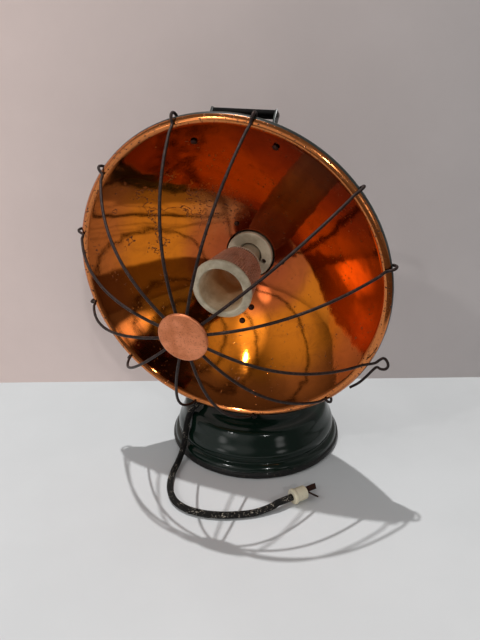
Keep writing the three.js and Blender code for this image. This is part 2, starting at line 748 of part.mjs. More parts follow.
function guardStations(turn) {
  const [hookX, hookZ] = hookCentre;
  const hook = arcPoints(hookX, hookZ, hookR, HOOK_START, HOOK_START - HOOK_SWEEP, HOOK_STEPS);
  const lip = [hook[0][0] + HOOK_LEAD[0], hook[0][1] + HOOK_LEAD[1]];
  const line = [...guardArc(lip[0] - HOOK_APPROACH), lip, ...hook];
  return line.map(([r, z]) => new THREE.Vector3(r * Math.cos(turn), r * Math.sin(turn), z));
}

// The sprung wire: its eye stands free outside the rim, and its tail runs back behind the rim.
function sprungStations(turn) {
  const around = (r, degreesMore, z) => {
    const angle = turn + radians(degreesMore);
    return new THREE.Vector3(r * Math.cos(angle), r * Math.sin(angle), z);
  };
  const arc = guardArc(RIM_R - SPRUNG_START).map(([r, z]) => around(r, 0, z));
  const outside = RIM_R + GUARD_WIRE_R;
  return [...arc, ...SPRUNG_EYE.map(([beyond, degreesMore, z]) => around(outside + beyond, degreesMore, z))];
}

GUARD_TURNS.forEach((degrees, i) => {
  const turn = radians(degrees);
  const stations = i === SPRUNG_WIRE ? sprungStations(turn) : guardStations(turn);
  const name = `guard_wire_${String(i + 1).padStart(2, "0")}`;
  piece(dish, name, wireAlong(stations, GUARD_WIRE_R, GUARD_WIRE_SIDES), wireDark);
});

const wireTop = hubZ + GUARD_WIRE_R;
const wireUnder = hubZ - GUARD_WIRE_R;
const capBack = wireTop + SEAT;
const plateFront = wireUnder - SEAT;
const plateBack = plateFront - BACK_PLATE_THICKNESS;
const studEnd = plateBack - MEDALLION_STUD_REACH;

piece(
  dish,
  "medallion_cap",
  revolve(
    [
      [0, studEnd],
      [MEDALLION_STUD_R, studEnd],
      [MEDALLION_STUD_R, capBack],
      [MEDALLION_R - 1, capBack],
      [MEDALLION_R, capBack - MEDALLION_EDGE],
      [MEDALLION_R, capBack + MEDALLION_THICKNESS * 0.4],
      [MEDALLION_R * 0.9, capBack + MEDALLION_THICKNESS],
      [MEDALLION_R * 0.5, capBack + MEDALLION_THICKNESS + MEDALLION_DOME * 0.7],
      [0, capBack + MEDALLION_THICKNESS + MEDALLION_DOME],
    ],
    24,
  ),
  copperSatin,
);
piece(
  dish,
  "medallion_back_plate",
  revolve(
    [
      [MEDALLION_STUD_R + SEAT, plateFront],
      [BACK_PLATE_R, plateFront],
      [BACK_PLATE_R, plateBack],
      [MEDALLION_STUD_R + SEAT, plateBack],
    ],
    24,
  ),
  wireDark,
);
piece(
  dish,
  "medallion_nut",
  hexNut(MEDALLION_STUD_R + SEAT, MEDALLION_NUT_R, studEnd + SEAT, plateBack - SEAT),
  wireDark,
);

// ---------------------------------------------------------------- handle

// A flat strap along places, each with its own direction across the strap.
function strapAlong(places, acrosses, width, thickness) {
  const sections = places.map((place, i) => {
    const before = places[Math.max(i - 1, 0)];
    const after = places[Math.min(i + 1, places.length - 1)];
    const along = new THREE.Vector3().subVectors(place, before).normalize();
    along.add(new THREE.Vector3().subVectors(after, place).normalize()).normalize();
    const one = new THREE.Vector3().subVectors(i ? place : after, i ? before : place).normalize();
    const across = acrosses[i].clone().addScaledVector(along, -acrosses[i].dot(along)).normalize();
    const normal = new THREE.Vector3().crossVectors(along, across).normalize();
    const stretch = 1 / Math.max(along.dot(one), 0.5);
    const corner = (w, t) =>
      place
        .clone()
        .addScaledVector(across, (w * width) / 2)
        .addScaledVector(normal, (t * thickness * stretch) / 2);
    return [corner(-1, -1), corner(1, -1), corner(1, 1), corner(-1, 1)];
  });
  const corners = [];
  const face = (a, b, c, d) => corners.push(a, b, c, a, c, d);
  const first = sections[0];
  const last = sections.at(-1);
  face(first[0], first[3], first[2], first[1]);
  face(last[0], last[1], last[2], last[3]);
  for (let i = 0; i < sections.length - 1; i += 1)
    for (let k = 0; k < 4; k += 1) {
      const next = (k + 1) % 4;
      face(sections[i][k], sections[i][next], sections[i + 1][next], sections[i + 1][k]);
    }
  return new THREE.BufferGeometry().setFromPoints(corners);
}

const gripEnd = HANDLE_LENGTH / 2;

function gripGeometry() {
  const wide = HANDLE_WIDTH / 2 - HANDLE_ROUNDING;
  const tall = HANDLE_THICKNESS / 2 - HANDLE_ROUNDING;
  const outline = [
    ...arcPoints(wide, tall, HANDLE_ROUNDING, 0, 90, 3),
    ...arcPoints(-wide, tall, HANDLE_ROUNDING, 90, 180, 3),
    ...arcPoints(-wide, -tall, HANDLE_ROUNDING, 180, 270, 3),
    ...arcPoints(wide, -tall, HANDLE_ROUNDING, 270, 360, 3),
  ];
  const bar = slab(outline, HANDLE_LENGTH);
  const pinHole = rod(HANDLE_PIN_R + SEAT, gripEnd - HANDLE_PIN_REACH - SEAT, gripEnd + 1, 12);
  return cut(bar, pinHole, pinHole.clone().rotateY(Math.PI));
}

// The grip's frame: its length from foot to foot, its top away from the bowl.
const gripTurn = new THREE.Matrix4().makeBasis(handleAcross, handleUp, handleAlong);
piece(
  dish,
  "handle_grip",
  gripGeometry().applyMatrix4(gripTurn).translate(gripCentre.x, gripCentre.y, gripCentre.z),
  blackPaint,
);

["left", "right"].forEach((sideName, i) => {
  const foot = handleFeet[i];
  const { place, outward } = foot;
  const sideWay = handleAlong.clone().multiplyScalar(2 * i - 1); // away from the middle
  const along = sideWay.clone().addScaledVector(outward, -sideWay.dot(outward)).normalize();
  const across = new THREE.Vector3().crossVectors(along, outward).normalize();
  const lift = BOWL_SHEET + SEAT + STRAP_THICKNESS / 2;
  const onFoot = (distance) =>
    place.clone().addScaledVector(outward, lift).addScaledVector(along, distance);
  const byGrip = (height) =>
    gripCentre
      .clone()
      .addScaledVector(sideWay, gripEnd + SEAT + STRAP_THICKNESS / 2)
      .addScaledVector(handleUp, height);
  const acrossGrip = handleAcross.clone().multiplyScalar(Math.sign(handleAcross.dot(across)));
  const gripTop = HANDLE_THICKNESS / 2;
  const bandPlaces = [
    onFoot(STRAP_TOE),
    onFoot(-STRAP_HEEL),
    byGrip(-gripTop - STRAP_RISE),
    byGrip(gripTop),
  ];
  const acrosses = [across, across, acrossGrip, acrossGrip];
  const band = strapAlong(bandPlaces, acrosses, STRAP_WIDTH, STRAP_THICKNESS);
  const pinHole = aim(rod(HANDLE_PIN_R + SEAT, -6, 6, 12), byGrip(0), sideWay);
  piece(
    dish,
    `handle_strap_${sideName}`,
    cut(band, pinHole, holeThrough(foot, HANDLE_SCREW_R, 9), bowlClearance(SEAT)),
    enamelGreen,
  );
  const pinSeat = byGrip(0).addScaledVector(sideWay, STRAP_THICKNESS / 2 + SEAT);
  const pinLength = STRAP_THICKNESS + 2 * SEAT + HANDLE_PIN_REACH - 1;
  const pin = domedScrew(HANDLE_PIN_HEAD_R, HANDLE_PIN_HEAD_HEIGHT, HANDLE_PIN_R, pinLength);
  piece(dish, `handle_pin_${sideName}`, aim(pin, pinSeat, sideWay), steel);
  const screw = domedScrew(
    HANDLE_SCREW_HEAD_R,
    HANDLE_SCREW_HEAD_HEIGHT,
    HANDLE_SCREW_R,
    handleScrewLength,
  );
  piece(dish, `handle_screw_${sideName}`, aim(screw, headSeat(foot), inwardFrom(foot)), brassDark);
});

// ---------------------------------------------------------------- hinge bracket on the bowl

// Drawn in the dish's y-z plane: u down the bowl's back, v away from it.
const saddlePlace = onBowl(0, -SADDLE_RADIUS_POINT);
const saddleV = saddlePlace.outward;
const saddleU = new THREE.Vector3().crossVectors(AXIS_X, saddleV).negate().normalize();

function saddleGeometry() {
  const offset = pivotInDish.clone().sub(saddlePlace.place);
  const pu = offset.dot(saddleU);
  const pv = offset.dot(saddleV);
  const half = SADDLE_LENGTH / 2;
  const back = BOWL_SHEET + SADDLE_THICKNESS;
  const pad = slab(
    [
      [-half, -SADDLE_THICKNESS],
      [half, -SADDLE_THICKNESS],
      [half, back - SADDLE_CHAMFER],
      [half - SADDLE_CHAMFER, back],
      [SADDLE_CHAMFER - half, back],
      [-half, back - SADDLE_CHAMFER],
    ],
    SADDLE_WIDTH,
  );
  const root = TONGUE_R + TONGUE_ROOT;
  const tongue = slab(
    [
      [pu - root, back - SADDLE_CHAMFER],
      [pu + root, back - SADDLE_CHAMFER],
      ...arcPoints(pu, pv, TONGUE_R, -10, 190, 10),
    ],
    TONGUE_THICKNESS,
  );
  const saddleW = new THREE.Vector3().crossVectors(saddleU, saddleV);
  const frame = new THREE.Matrix4().makeBasis(saddleU, saddleV, saddleW);
  const place = (geometry) =>
    geometry
      .applyMatrix4(frame)
      .translate(saddlePlace.place.x, saddlePlace.place.y, saddlePlace.place.z);
  const boltHole = aim(rod(BOLT_R + SEAT, -20, 20, 20), pivotInDish, AXIS_X);
  const screwHoles = saddleFixings.map((fixing) =>
    aim(rod(SADDLE_SCREW_R + SEAT, -1, saddleScrewLength + 1, 8), fixing.place, fixing.outward),
  );
  return cut(join(place(pad), place(tongue)), bowlClearance(SEAT), boltHole, ...screwHoles);
}

piece(dish, "hinge_saddle", saddleGeometry(), blackPaint);
saddleFixings.forEach((fixing, i) => {
  const seat = headSeat(fixing);
  const screw = domedScrew(
    SADDLE_SCREW_HEAD_R,
    SADDLE_SCREW_HEAD_HEIGHT,
    SADDLE_SCREW_R,
    saddleScrewLength,
  );
  piece(dish, `saddle_screw_${i + 1}`, aim(screw, seat, inwardFrom(fixing)), brassDark);
});

// ---------------------------------------------------------------- fork, bolt and wing nut

const tongueHalf = TONGUE_THICKNESS / 2;
const washerInner = tongueHalf + SEAT;
const washerOuter = washerInner + FRICTION_WASHER;
const cheekInner = washerOuter + SEAT;
const cheekOuter = cheekInner + CHEEK_THICKNESS;
const slotFloor = PIVOT.z - TONGUE_R - FORK_SLOT_GAP;
const forkSole = slotFloor - FORK_CROTCH;
const postTop = forkSole - POST_SOCKET;
const sleeveFoot = postTop - SLEEVE_LENGTH;

// A geometry that was drawn along +z, laid along the bolt.
const onPivot = (geometry) => geometry.rotateY(Math.PI / 2).translate(PIVOT.x, PIVOT.y, PIVOT.z);

function forkGeometry() {
  const outline = [
    [-SLEEVE_R + 1.5, forkSole],
    [SLEEVE_R - 1.5, forkSole],
    ...arcPoints(PIVOT.y, PIVOT.z, TONGUE_R, 0, 180, 10),
  ];
  const cheeks = slab(outline, 2 * cheekOuter)
    .rotateX(Math.PI / 2)
    .rotateZ(Math.PI / 2);
  const sleeve = revolve(
    [
      [POST_R + SEAT, sleeveFoot],
      [SLEEVE_R - 1, sleeveFoot],
      [SLEEVE_R, sleeveFoot + 1],
      [SLEEVE_R, forkSole + 2],
      [SLEEVE_R - 3, forkSole + 5],
      [0, forkSole + 5],
      [0, postTop + SEAT],
      [POST_R + SEAT, postTop + SEAT],
    ],
    24,
  );
  const slot = new THREE.BoxGeometry(2 * cheekInner, 60, 60).translate(0, 0, slotFloor + 30);
  return cut(join(cheeks, sleeve), slot, onPivot(rod(BOLT_R + SEAT, -30, 30, 20)));
}

piece(stand, "hinge_fork", forkGeometry(), blackPaint);
const washer = (from, to) => onPivot(ring(BOLT_R + SEAT, TONGUE_R - 1, from, to));
piece(stand, "friction_washer_left", washer(-washerOuter, -washerInner), steel);
piece(stand, "friction_washer_right", washer(washerInner, washerOuter), steel);

const nutInner = cheekOuter + SEAT;
const boltEnd = nutInner + NUT_LENGTH + BOLT_POINT;
const boltHead = cheekOuter + SEAT;
piece(
  stand,
  "hinge_bolt",
  onPivot(
    revolve(
      [
        [0, -boltHead - BOLT_HEAD_HEIGHT],
        [BOLT_HEAD_R - BOLT_HEAD_CHAMFER, -boltHead - BOLT_HEAD_HEIGHT],
        [BOLT_HEAD_R, -boltHead - BOLT_HEAD_HEIGHT + BOLT_HEAD_CHAMFER],
        [BOLT_HEAD_R, -boltHead],
        [BOLT_R, -boltHead],
        [BOLT_R, boltEnd],
        [0, boltEnd],
      ],
      20,
    ),
  ),
  steel,
);

function wingNutGeometry() {
  const hub = rod(NUT_R, nutInner, nutInner + NUT_LENGTH, 16);
  const otherWing = WING_OUTLINE.map(([x, y]) => [-x, y]).reverse();
  const wing = slab([...WING_OUTLINE, ...otherWing], WING_THICKNESS)
    .rotateX(Math.PI / 2)
    .translate(0, 0, nutInner);
  const bore = rod(BOLT_R + SEAT, nutInner - 5, nutInner + 30, 16);
  return onPivot(cut(join(hub, wing), bore));
}
piece(stand, "wing_nut", wingNutGeometry(), steel);

// ---------------------------------------------------------------- post and base

const plateTop = PLATE_THICKNESS; // the plate lies flush with the foot
const neckBoreR = POST_R + SEAT;
piece(stand, "stand_post", ring(POST_BORE_R, POST_R, plateTop + SEAT, postTop), steel);
piece(
  stand,
  "neck_collar",
  revolve(
    [
      [neckBoreR, NECK_TOP + SEAT],
      [NECK_TOP_R - 1.5, NECK_TOP + SEAT],
      [NECK_TOP_R - 1.5, NECK_TOP + COLLAR_STEP],
      [POST_R + 4, NECK_TOP + COLLAR_HEIGHT],
      [neckBoreR, NECK_TOP + COLLAR_HEIGHT],
    ],
    24,
  ),
  blackPaint,
);

// From the foot over the bead, the lower band, the crease, the dome and the shoulder to the neck.
const baseOutside = [
  [FOOT_OUTER_R, 0],
  [BASE_R - 0.5, 1.6],
  [BASE_R, 4],
  [BASE_R - 0.6, 6.6],
  [BASE_R - 2.3, 8.2],
  [BASE_R - 3.2, 11.4],
  [BASE_R - 5.4, 14.2],
  [BASE_R - 8.3, 16.2],
  [BASE_R - 8.2, 19],
  [BASE_R - 8, 23],
  [BASE_R - 9.8, 29],
  [BASE_R - 12.8, 35],
  [BASE_R - 16.8, 45],
  [BASE_R - 19.6, 49.4],
  [BASE_R - 23.7, 51.2],
  [BASE_R - 28, 51.4],
  [BASE_R - 32, 53],
  [BASE_R - 36, BASE_TOP - 2],
  [BASE_R - 42, BASE_TOP],
  [NECK_TOP_R + 14, BASE_TOP + 1],
  [NECK_TOP_R + 7, BASE_TOP + 4],
  [NECK_TOP_R + 3.4, BASE_TOP + 12],
  [NECK_TOP_R + 1.2, NECK_TOP - 3],
  [NECK_TOP_R - 1, NECK_TOP],
  [neckBoreR, NECK_TOP],
];
const footTop = 2;
const baseInside = offsetLine(baseOutside, BASE_SHEET)
  .filter((_, i) => i > 1 && (i % 3 < 2 || i > 19))
  .map(([r, z]) => [r, Math.min(z, NECK_TOP - BASE_SHEET)]);

const cordHeading = radians(CORD_HEADING);
const cordWay = new THREE.Vector3(Math.cos(cordHeading), Math.sin(cordHeading), 0);
const cordExit = new THREE.Vector3(0, 0, CORD_HEIGHT);

function baseShellGeometry() {
  const shell = revolve(
    [...baseOutside, ...baseInside.reverse(), [FOOT_INNER_R, footTop], [FOOT_INNER_R, 0]],
    BASE_SEGMENTS,
  );
  return cut(shell, aim(rod(BUSHING_R + SEAT, 8, 40, 16), cordExit, cordWay));
}
piece(stand, "base_shell", baseShellGeometry(), enamelGreen);

const bushingOutline = [
  [0, NECK_TOP_R - 5],
  [BUSHING_R, NECK_TOP_R - 5],
  [BUSHING_R, BUSHING_FACE - 3.5],
  [BUSHING_FLANGE_R, BUSHING_FACE - 2.6],
  [BUSHING_FLANGE_R, BUSHING_FACE - 0.8],
  [BUSHING_FLANGE_R - 1, BUSHING_FACE],
  [0, BUSHING_FACE],
];
piece(stand, "cord_bushing", aim(revolve(bushingOutline, 20), cordExit, cordWay), blackPaint);

const neckInsideTop = NECK_TOP - BASE_SHEET;
piece(
  stand,
  "post_nut",
  hexNut(neckBoreR, NECK_TOP_R - 4, neckInsideTop - POST_NUT_HEIGHT, neckInsideTop - SEAT),
  steel,
);
piece(stand, "base_plate", rod(FOOT_INNER_R - 3 * SEAT, 0, plateTop, BASE_SEGMENTS), castIron);
piece(
  stand,
  "base_weight",
  revolve(
    [
      [WEIGHT_BORE_R, plateTop + SEAT],
      [WEIGHT_R, plateTop + SEAT],
      [WEIGHT_R, plateTop + WEIGHT_HEIGHT - 4],
      [WEIGHT_R - 4, plateTop + WEIGHT_HEIGHT],
      [WEIGHT_BORE_R, plateTop + WEIGHT_HEIGHT],
    ],
    24,
  ),
  castIron,
);

// ---------------------------------------------------------------- cord and plug

// The cord's route: out of the bushing, over the base's shoulder, down to the floor and round to the plug.
const plugHeading = radians(PLUG_HEADING);
const plugWay = new THREE.Vector3(Math.cos(plugHeading), Math.sin(plugHeading), 0);
const cordStart = cordExit.clone().addScaledVector(cordWay, BUSHING_FACE + SEAT);
const cordRoute = [
  cordStart,
  cordStart.clone().addScaledVector(cordWay, 2 * CORD_R),
  ...CORD_WAY.map((place) => new THREE.Vector3(...place)),
  PLUG_START.clone().addScaledVector(plugWay, -SEAT - 5 * CORD_R),
  PLUG_START.clone().addScaledVector(plugWay, -SEAT - 2 * CORD_R),
  PLUG_START.clone().addScaledVector(plugWay, -SEAT),
];
const cordCurve = new THREE.CatmullRomCurve3(cordRoute, false, "centripetal");
console.log("cord length, mm:", cordCurve.getLength().toFixed(0));
const cordPoints = cordCurve.getSpacedPoints(CORD_STEPS);
piece(stand, "cord", wireAlong(cordPoints, CORD_R, CORD_SIDES), clothCord);

// The plug is drawn along +z from its cord end, then laid on the floor.
const plug = new THREE.Group();
plug.position.copy(PLUG_START);
plug.quaternion.setFromUnitVectors(AXIS_Z, plugWay);
stand.add(plug);
const plugRoll = new THREE.Group();
plugRoll.rotation.z = radians(PLUG_ROLL);
plug.add(plugRoll);

function plugBodyGeometry() {
  const body = revolve(
    [
      [0, 0],
      [PLUG_FLANGE_R - PLUG_CHAMFER, 0],
      [PLUG_FLANGE_R, PLUG_CHAMFER],
      [PLUG_FLANGE_R, PLUG_FLANGE_LENGTH - PLUG_CHAMFER],
      [PLUG_R, PLUG_FLANGE_LENGTH],
      [PLUG_R, PLUG_LENGTH - PLUG_CHAMFER],
      [PLUG_R - PLUG_CHAMFER, PLUG_LENGTH],
      [0, PLUG_LENGTH],
    ],
    20,
  );
  const across = BLADE_WIDTH + 2 * SEAT;
  const thick = BLADE_THICKNESS + 2 * SEAT;
  const deep = BLADE_SEAT + 1;
  const middle = PLUG_LENGTH - BLADE_SEAT - SEAT + deep / 2;
  const flatSlot = new THREE.BoxGeometry(thick, across, deep).translate(FLAT_BLADE_PLACE, 0, middle);
  const turnedSlot = new THREE.BoxGeometry(across, thick, deep).translate(-TURNED_BLADE_PLACE, 0, middle);
  return cut(body, flatSlot, turnedSlot);
}
piece(plugRoll, "plug_body", plugBodyGeometry(), creamPlastic);

// A blade along z, flat in the plane of y and z; it can be bent where it leaves the plug.
function bladeGeometry(reach, bend) {
  const lean = radians(bend);
  const root = PLUG_LENGTH + 1;
  const out = (distance) =>
    new THREE.Vector3(distance * Math.sin(lean), 0, root + distance * Math.cos(lean));
  const places = [new THREE.Vector3(0, 0, PLUG_LENGTH - BLADE_SEAT), out(0), out(reach)];
  const acrosses = places.map(() => new THREE.Vector3(0, 1, 0));
  return strapAlong(places, acrosses, BLADE_WIDTH, BLADE_THICKNESS);
}

const flatBlade = bladeGeometry(BLADE_REACH, 0).translate(FLAT_BLADE_PLACE, 0, 0);
piece(plugRoll, "plug_blade_1", flatBlade, brassDark);
const turnedBlade = bladeGeometry(BENT_BLADE_REACH, BENT_BLADE)
  .rotateZ(-Math.PI / 2)
  .translate(-TURNED_BLADE_PLACE, 0, 0);
piece(plugRoll, "plug_blade_2", turnedBlade, brassDark);

export default heater;
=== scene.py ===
"""Electric bowl heater of the 1920s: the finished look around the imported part.

A spun copper bowl with a wound porcelain element, a wire guard, a carrying handle and a tilting
hinge on a post over a round enamelled base, with its cloth covered lead.
"""

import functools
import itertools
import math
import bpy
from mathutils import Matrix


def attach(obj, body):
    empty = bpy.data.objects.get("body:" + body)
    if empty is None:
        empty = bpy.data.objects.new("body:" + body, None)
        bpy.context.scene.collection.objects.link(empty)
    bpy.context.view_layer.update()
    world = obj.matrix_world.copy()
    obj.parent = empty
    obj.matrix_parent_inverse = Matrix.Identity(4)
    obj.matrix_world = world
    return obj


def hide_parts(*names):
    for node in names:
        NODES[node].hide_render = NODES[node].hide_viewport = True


bl_info = {
    "name": "Copper Bowl Heater", "version": (1, 0, 0), "blender": (4, 5, 0),
    "location": "View3D > Sidebar > Heater",
    "description": "Builds the pieces and the finishes of an old copper bowl heater", "category": "Object",
}

import bmesh
import bpy
from mathutils import Matrix, Vector

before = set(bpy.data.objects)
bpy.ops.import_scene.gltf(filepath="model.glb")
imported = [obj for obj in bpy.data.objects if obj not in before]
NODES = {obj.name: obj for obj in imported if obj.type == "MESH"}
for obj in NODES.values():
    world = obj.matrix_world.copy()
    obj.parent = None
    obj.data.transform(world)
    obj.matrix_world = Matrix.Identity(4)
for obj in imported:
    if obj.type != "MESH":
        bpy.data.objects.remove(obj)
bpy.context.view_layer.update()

# ---------------------------------------------------------------- sizes, in millimetres

MM = 0.001
SEAT = 0.3  # gap between two pieces that touch

BOWL_MOUTH_R = 157
BOWL_DEPTH = 95
BOWL_SHEET = 1.2
BOWL_OPENING_R = 29.3
BOWL_STEPS = 8  # rings of the solid bowl, whose facets lift the heads on it
BOWL_SEGMENTS = 36
RIM_WIDTH = 8
RIM_R = BOWL_MOUTH_R + RIM_WIDTH
RIM_LIP = 1.1
RIM_SKIRT = 7
RIM_FLOOR_GAP = 67.4
RIM_CENTRE = Vector((0, -110.7, RIM_R + RIM_FLOOR_GAP))
BOWL_DROOP = 9.2  # degrees that the bowl's axis points below level

CORE_FRONT = 8.5
CORE_LENGTH = 62.5
CORE_FRONT_R = 28.8
CORE_REAR_R = 22.2
CORE_BORE_R = 23.6
CORE_FLOOR_R = 17.5
CORE_FLOOR = 10
CORE_TAPER = 0.126  # what the core's radius gains for each millimetre forward
CORE_WALL_R = 25.56  # the middle of its wall at the rim's plane
FRONT_RING_R = 32.1
FRONT_RING_LENGTH = 6
FRONT_RING_SLOPE = 4.5
REAR_RING_R = 24.3
REAR_RING_LENGTH = 3

WORN_PATCH = Vector((-30, 62, -76))  # in the bowl's own frame
CRACKED_PLACE = Vector((-92, 60, -48))

SOCKET_FACE = -87
SOCKET_FLANGE_R = 27
SOCKET_FLANGE_THICKNESS = 6
SOCKET_BODY_R = 25
SOCKET_RECESS_R = 14.6
SOCKET_RECESS_DEPTH = 3.5
SOCKET_LENGTH = 31
SPIGOT_R = 12.5
SPIGOT_LENGTH = 26
SOCKET_SCREW_CIRCLE = 18.2
SOCKET_SCREW_TURN = -20
# of a screw or rivet: its head's radius and height, and its shank's radius
SOCKET_SCREW = (2.6, 1.4, 1.6)
SOCKET_SCREW_POINT = 5

HOUSING_R = 33
HOUSING_SHEET = 1.5
HOUSING_FLANGE_R = 45
HOUSING_LEAD_R = 8
HOUSING_RIVET_CIRCLE = 39
HOUSING_RIVETS = 3
HOUSING_RIVET_TURN = -10
HOUSING_RIVET = (2.8, 1.1, 1.5)
COVER_LENGTH = 24
COVER_DOME = 6
COVER_CROWN = 9

GUARD_DEPTH = 97
GUARD_FULLNESS = 2.66
GUARD_SPAN_R = RIM_R - 2
GUARD_WIRE_R = 1.4
GUARD_START_R = 9
GUARD_TURNS = [102, 76.2, 38, 11.4, -24.8, -48.5, -81.5, -107.5, -141, -168.5, 162, 135.5]
SPRUNG_WIRE = 4
HOOK_START = 78
HOOK_SWEEP = 228
HOOK_CLEARANCE = 0.85
HOOK_INSET = 2.7
HOOK_DROP = 1.45
HOOK_LEAD = (-3.8, 1.2)
HOOK_APPROACH = 4.5
# beyond the outside of the rim, degrees round from the wire, along the axis
SPRUNG_EYE = [
    (-4.9, 0.7, 6.5), (0.9, 2.2, 4.8), (3.2, 3.9, 3.9), (5.6, 4.8, 3.2), (9.8, 4.1, 2.2), (13.8, 2.2, 1),
    (13.2, 0.6, 0), (9.6, -0.3, -1), (6.2, -0.4, -1.8), (4.8, -2.6, -3), (4.6, -6.4, -4.6),
    (4.2, -10.8, -6.2), (2.6, -14.7, -7.8),
]
SPRUNG_START = 8
MEDALLION_R = 23
MEDALLION_THICKNESS = 1.6
MEDALLION_DOME = 1.4
MEDALLION_EDGE = 0.6
MEDALLION_STUD_R = 3
MEDALLION_STUD_REACH = 2.6
BACK_PLATE_R = 19
BACK_PLATE_THICKNESS = 1.6

HANDLE_FEET = [(-23.8, BOWL_MOUTH_R - 18.5), (55.2, BOWL_MOUTH_R - 22.9)]
HANDLE_SCREW = (3.2, 1.6, 1.8)
HANDLE_SCREW_LENGTH = 6.2
SADDLE_SCREWS = [(1.6, -63.7), (-8, -78.6)]
SADDLE_SCREW = (3.6, 1.6, 2)
SADDLE_SCREW_LENGTH = 5.2

PIVOT_DROP = 63.6
PIVOT = Vector((0, 0, RIM_CENTRE.z - PIVOT_DROP))
TONGUE_THICKNESS = 8
TONGUE_R = 10
FRICTION_WASHER = 1.2
CHEEK_THICKNESS = 4.5
BOLT_R = 3
BOLT_HEAD_R = 6
BOLT_HEAD_HEIGHT = 3.6
BOLT_HEAD_CHAMFER = 2
BOLT_REACH = 9  # from the fork to the bolt's end, through the wing nut
POST_R = 8
POST_BORE_R = 5.5
POST_DROP = 22.5  # from the pivot down to the post's top
NECK_TOP_R = 16.5
NECK_TOP = 88.6
COLLAR_HEIGHT = 8
COLLAR_STEP = 3

BASE_R = 110.7
BASE_SHEET = 1.6
BASE_TOP = 58.5
FOOT_INNER_R = 104.5
FOOT_OUTER_R = 108.5
PLATE_THICKNESS = 1.5

CORD_R = 3.75
FLOOR_Z = CORD_R + 0.3
CORD_HEADING = 227
CORD_HEIGHT = 68
BUSHING_R = 5.9
BUSHING_FLANGE_R = 7
BUSHING_FACE = 29.5
RELIEF_LENGTH = 24
PLUG_R = 7.4
PLUG_FLANGE_R = 8.5
PLUG_FLANGE_LENGTH = 4.5
PLUG_CHAMFER = 1
PLUG_LENGTH = 17.5
PLUG_START = Vector((82, -130.8, PLUG_FLANGE_R + SEAT))
PLUG_HEADING = 48
PLUG_ROLL = 111

# ---------------------------------------------------------------- frames


def around(r, degrees, z=0):
    """The point at a radius and an angle round the z axis."""
    return Vector((r * math.cos(math.radians(degrees)), r * math.sin(math.radians(degrees)), z))


def aimed(place, direction):
    """The frame whose z axis starts at a place and points along a direction."""
    turn = Vector((0, 0, 1)).rotation_difference(direction).to_matrix().to_4x4()
    return Matrix.Translation(place) @ turn


DISH = Matrix.Translation(RIM_CENTRE) @ Matrix.Rotation(math.radians(90 + BOWL_DROOP), 4, "X")
TO_METRES = Matrix.Scale(MM, 4)
PLUG_WAY = around(1, PLUG_HEADING)
PLUG = aimed(PLUG_START, PLUG_WAY) @ Matrix.Rotation(math.radians(PLUG_ROLL), 4, "Z")
EXIT_WAY = around(1, CORD_HEADING)
CORD_EXIT = Vector((0, 0, CORD_HEIGHT))

# ---------------------------------------------------------------- node trees


def linear(hex_colour):
    """An sRGB hex colour as the linear colour that a socket takes."""
    channels = [int(hex_colour[i : i + 2], 16) / 255 for i in (1, 3, 5)]
    return [c / 12.92 if c <= 0.04045 else ((c + 0.055) / 1.055) ** 2.4 for c in channels] + [1]


def per_mm(size):
    """The scale of a texture whose features are this many millimetres across."""
    return 1000 / size


def feed(socket, value):
    """Links an input to a socket or sets it; a hex colour is made linear."""
    if isinstance(value, bpy.types.NodeSocket):
        socket.id_data.links.new(value, socket)
    else:
        socket.default_value = linear(value) if str(value).startswith("#") else value


def add_node(tree, kind, *values, out=None, stops=(), **named):
    """Adds a node and returns one output: the one named, or the first that is in use.

    A dot in the kind sets the operation or the data type. Values feed the inputs in use in their
    order. Of the names, those in small letters are settings and the others are inputs. Stops are the
    places and colours of a ramp, where a number is a grey.
    """
    kind, _, mode = kind.partition(".")
    node = tree.nodes.new(kind if "Node" in kind else f"ShaderNode{kind}")
    if mode:
        setattr(node, "operation" if hasattr(node, "operation") else "data_type", mode)
    for key, value in named.items():
        if key[0].islower():
            setattr(node, key, value)
    for socket, value in zip([s for s in node.inputs if s.enabled], values):
        feed(socket, value)
    for key, value in named.items():
        if key[0].isupper():
            feed(node.inputs[key.replace("_", " ")], value)
    if stops:
        node.color_ramp.interpolation = "EASE"
        elements = node.color_ramp.elements
        while len(elements) < len(stops):
            elements.new(0.5)
        for element, (place, colour) in zip(elements, stops):
            element.position = place
            element.color = linear(colour) if isinstance(colour, str) else (colour, colour, colour, 1)
    return node.outputs[out] if out else next((s for s in node.outputs if s.enabled), None)


def started(name):
    """A new material, what adds its nodes, its shader, and the object's own coordinates."""
    material = bpy.data.materials.new(name)
    material.use_nodes = True
    add = functools.partial(add_node, material.node_tree)
    return material, add, material.node_tree.nodes["Principled BSDF"], add("TexCoord", out="Object")


def link(shader, **sockets):
    """Feeds the shader: base is its base colour, and the other names are its own."""
    special = {"base": "Base Color", "specular_ior_level": "Specular IOR Level"}
    for key, value in sockets.items():
        feed(shader.inputs[special.get(key, key.replace("_", " ").title())], value)


def in_dish(add, place):
    """Coordinates on the bowl's own frame, in metres: z runs forward along its axis."""
    turn = (math.radians(90 + BOWL_DROOP), 0, 0)
    return add("Mapping", place, Location=RIM_CENTRE * MM, Rotation=turn, vector_type="TEXTURE")


def from_axis(add, vector):
    """Distance from the z axis of a vector, in metres."""
    return add("VectorMath.LENGTH", add("VectorMath.MULTIPLY", vector, (1, 1, 0)))


def spots(add, place, size, detail, roughness, levels):
    """Spots of noise: 0 where it lies under the first level and 1 over the second, soft between."""
    noise = add("TexNoise", place, per_mm(size), detail, roughness)
    return add("ValToRGB", noise, stops=((levels[0], 0.0), (levels[1], 1.0)))


# ---------------------------------------------------------------- finishes


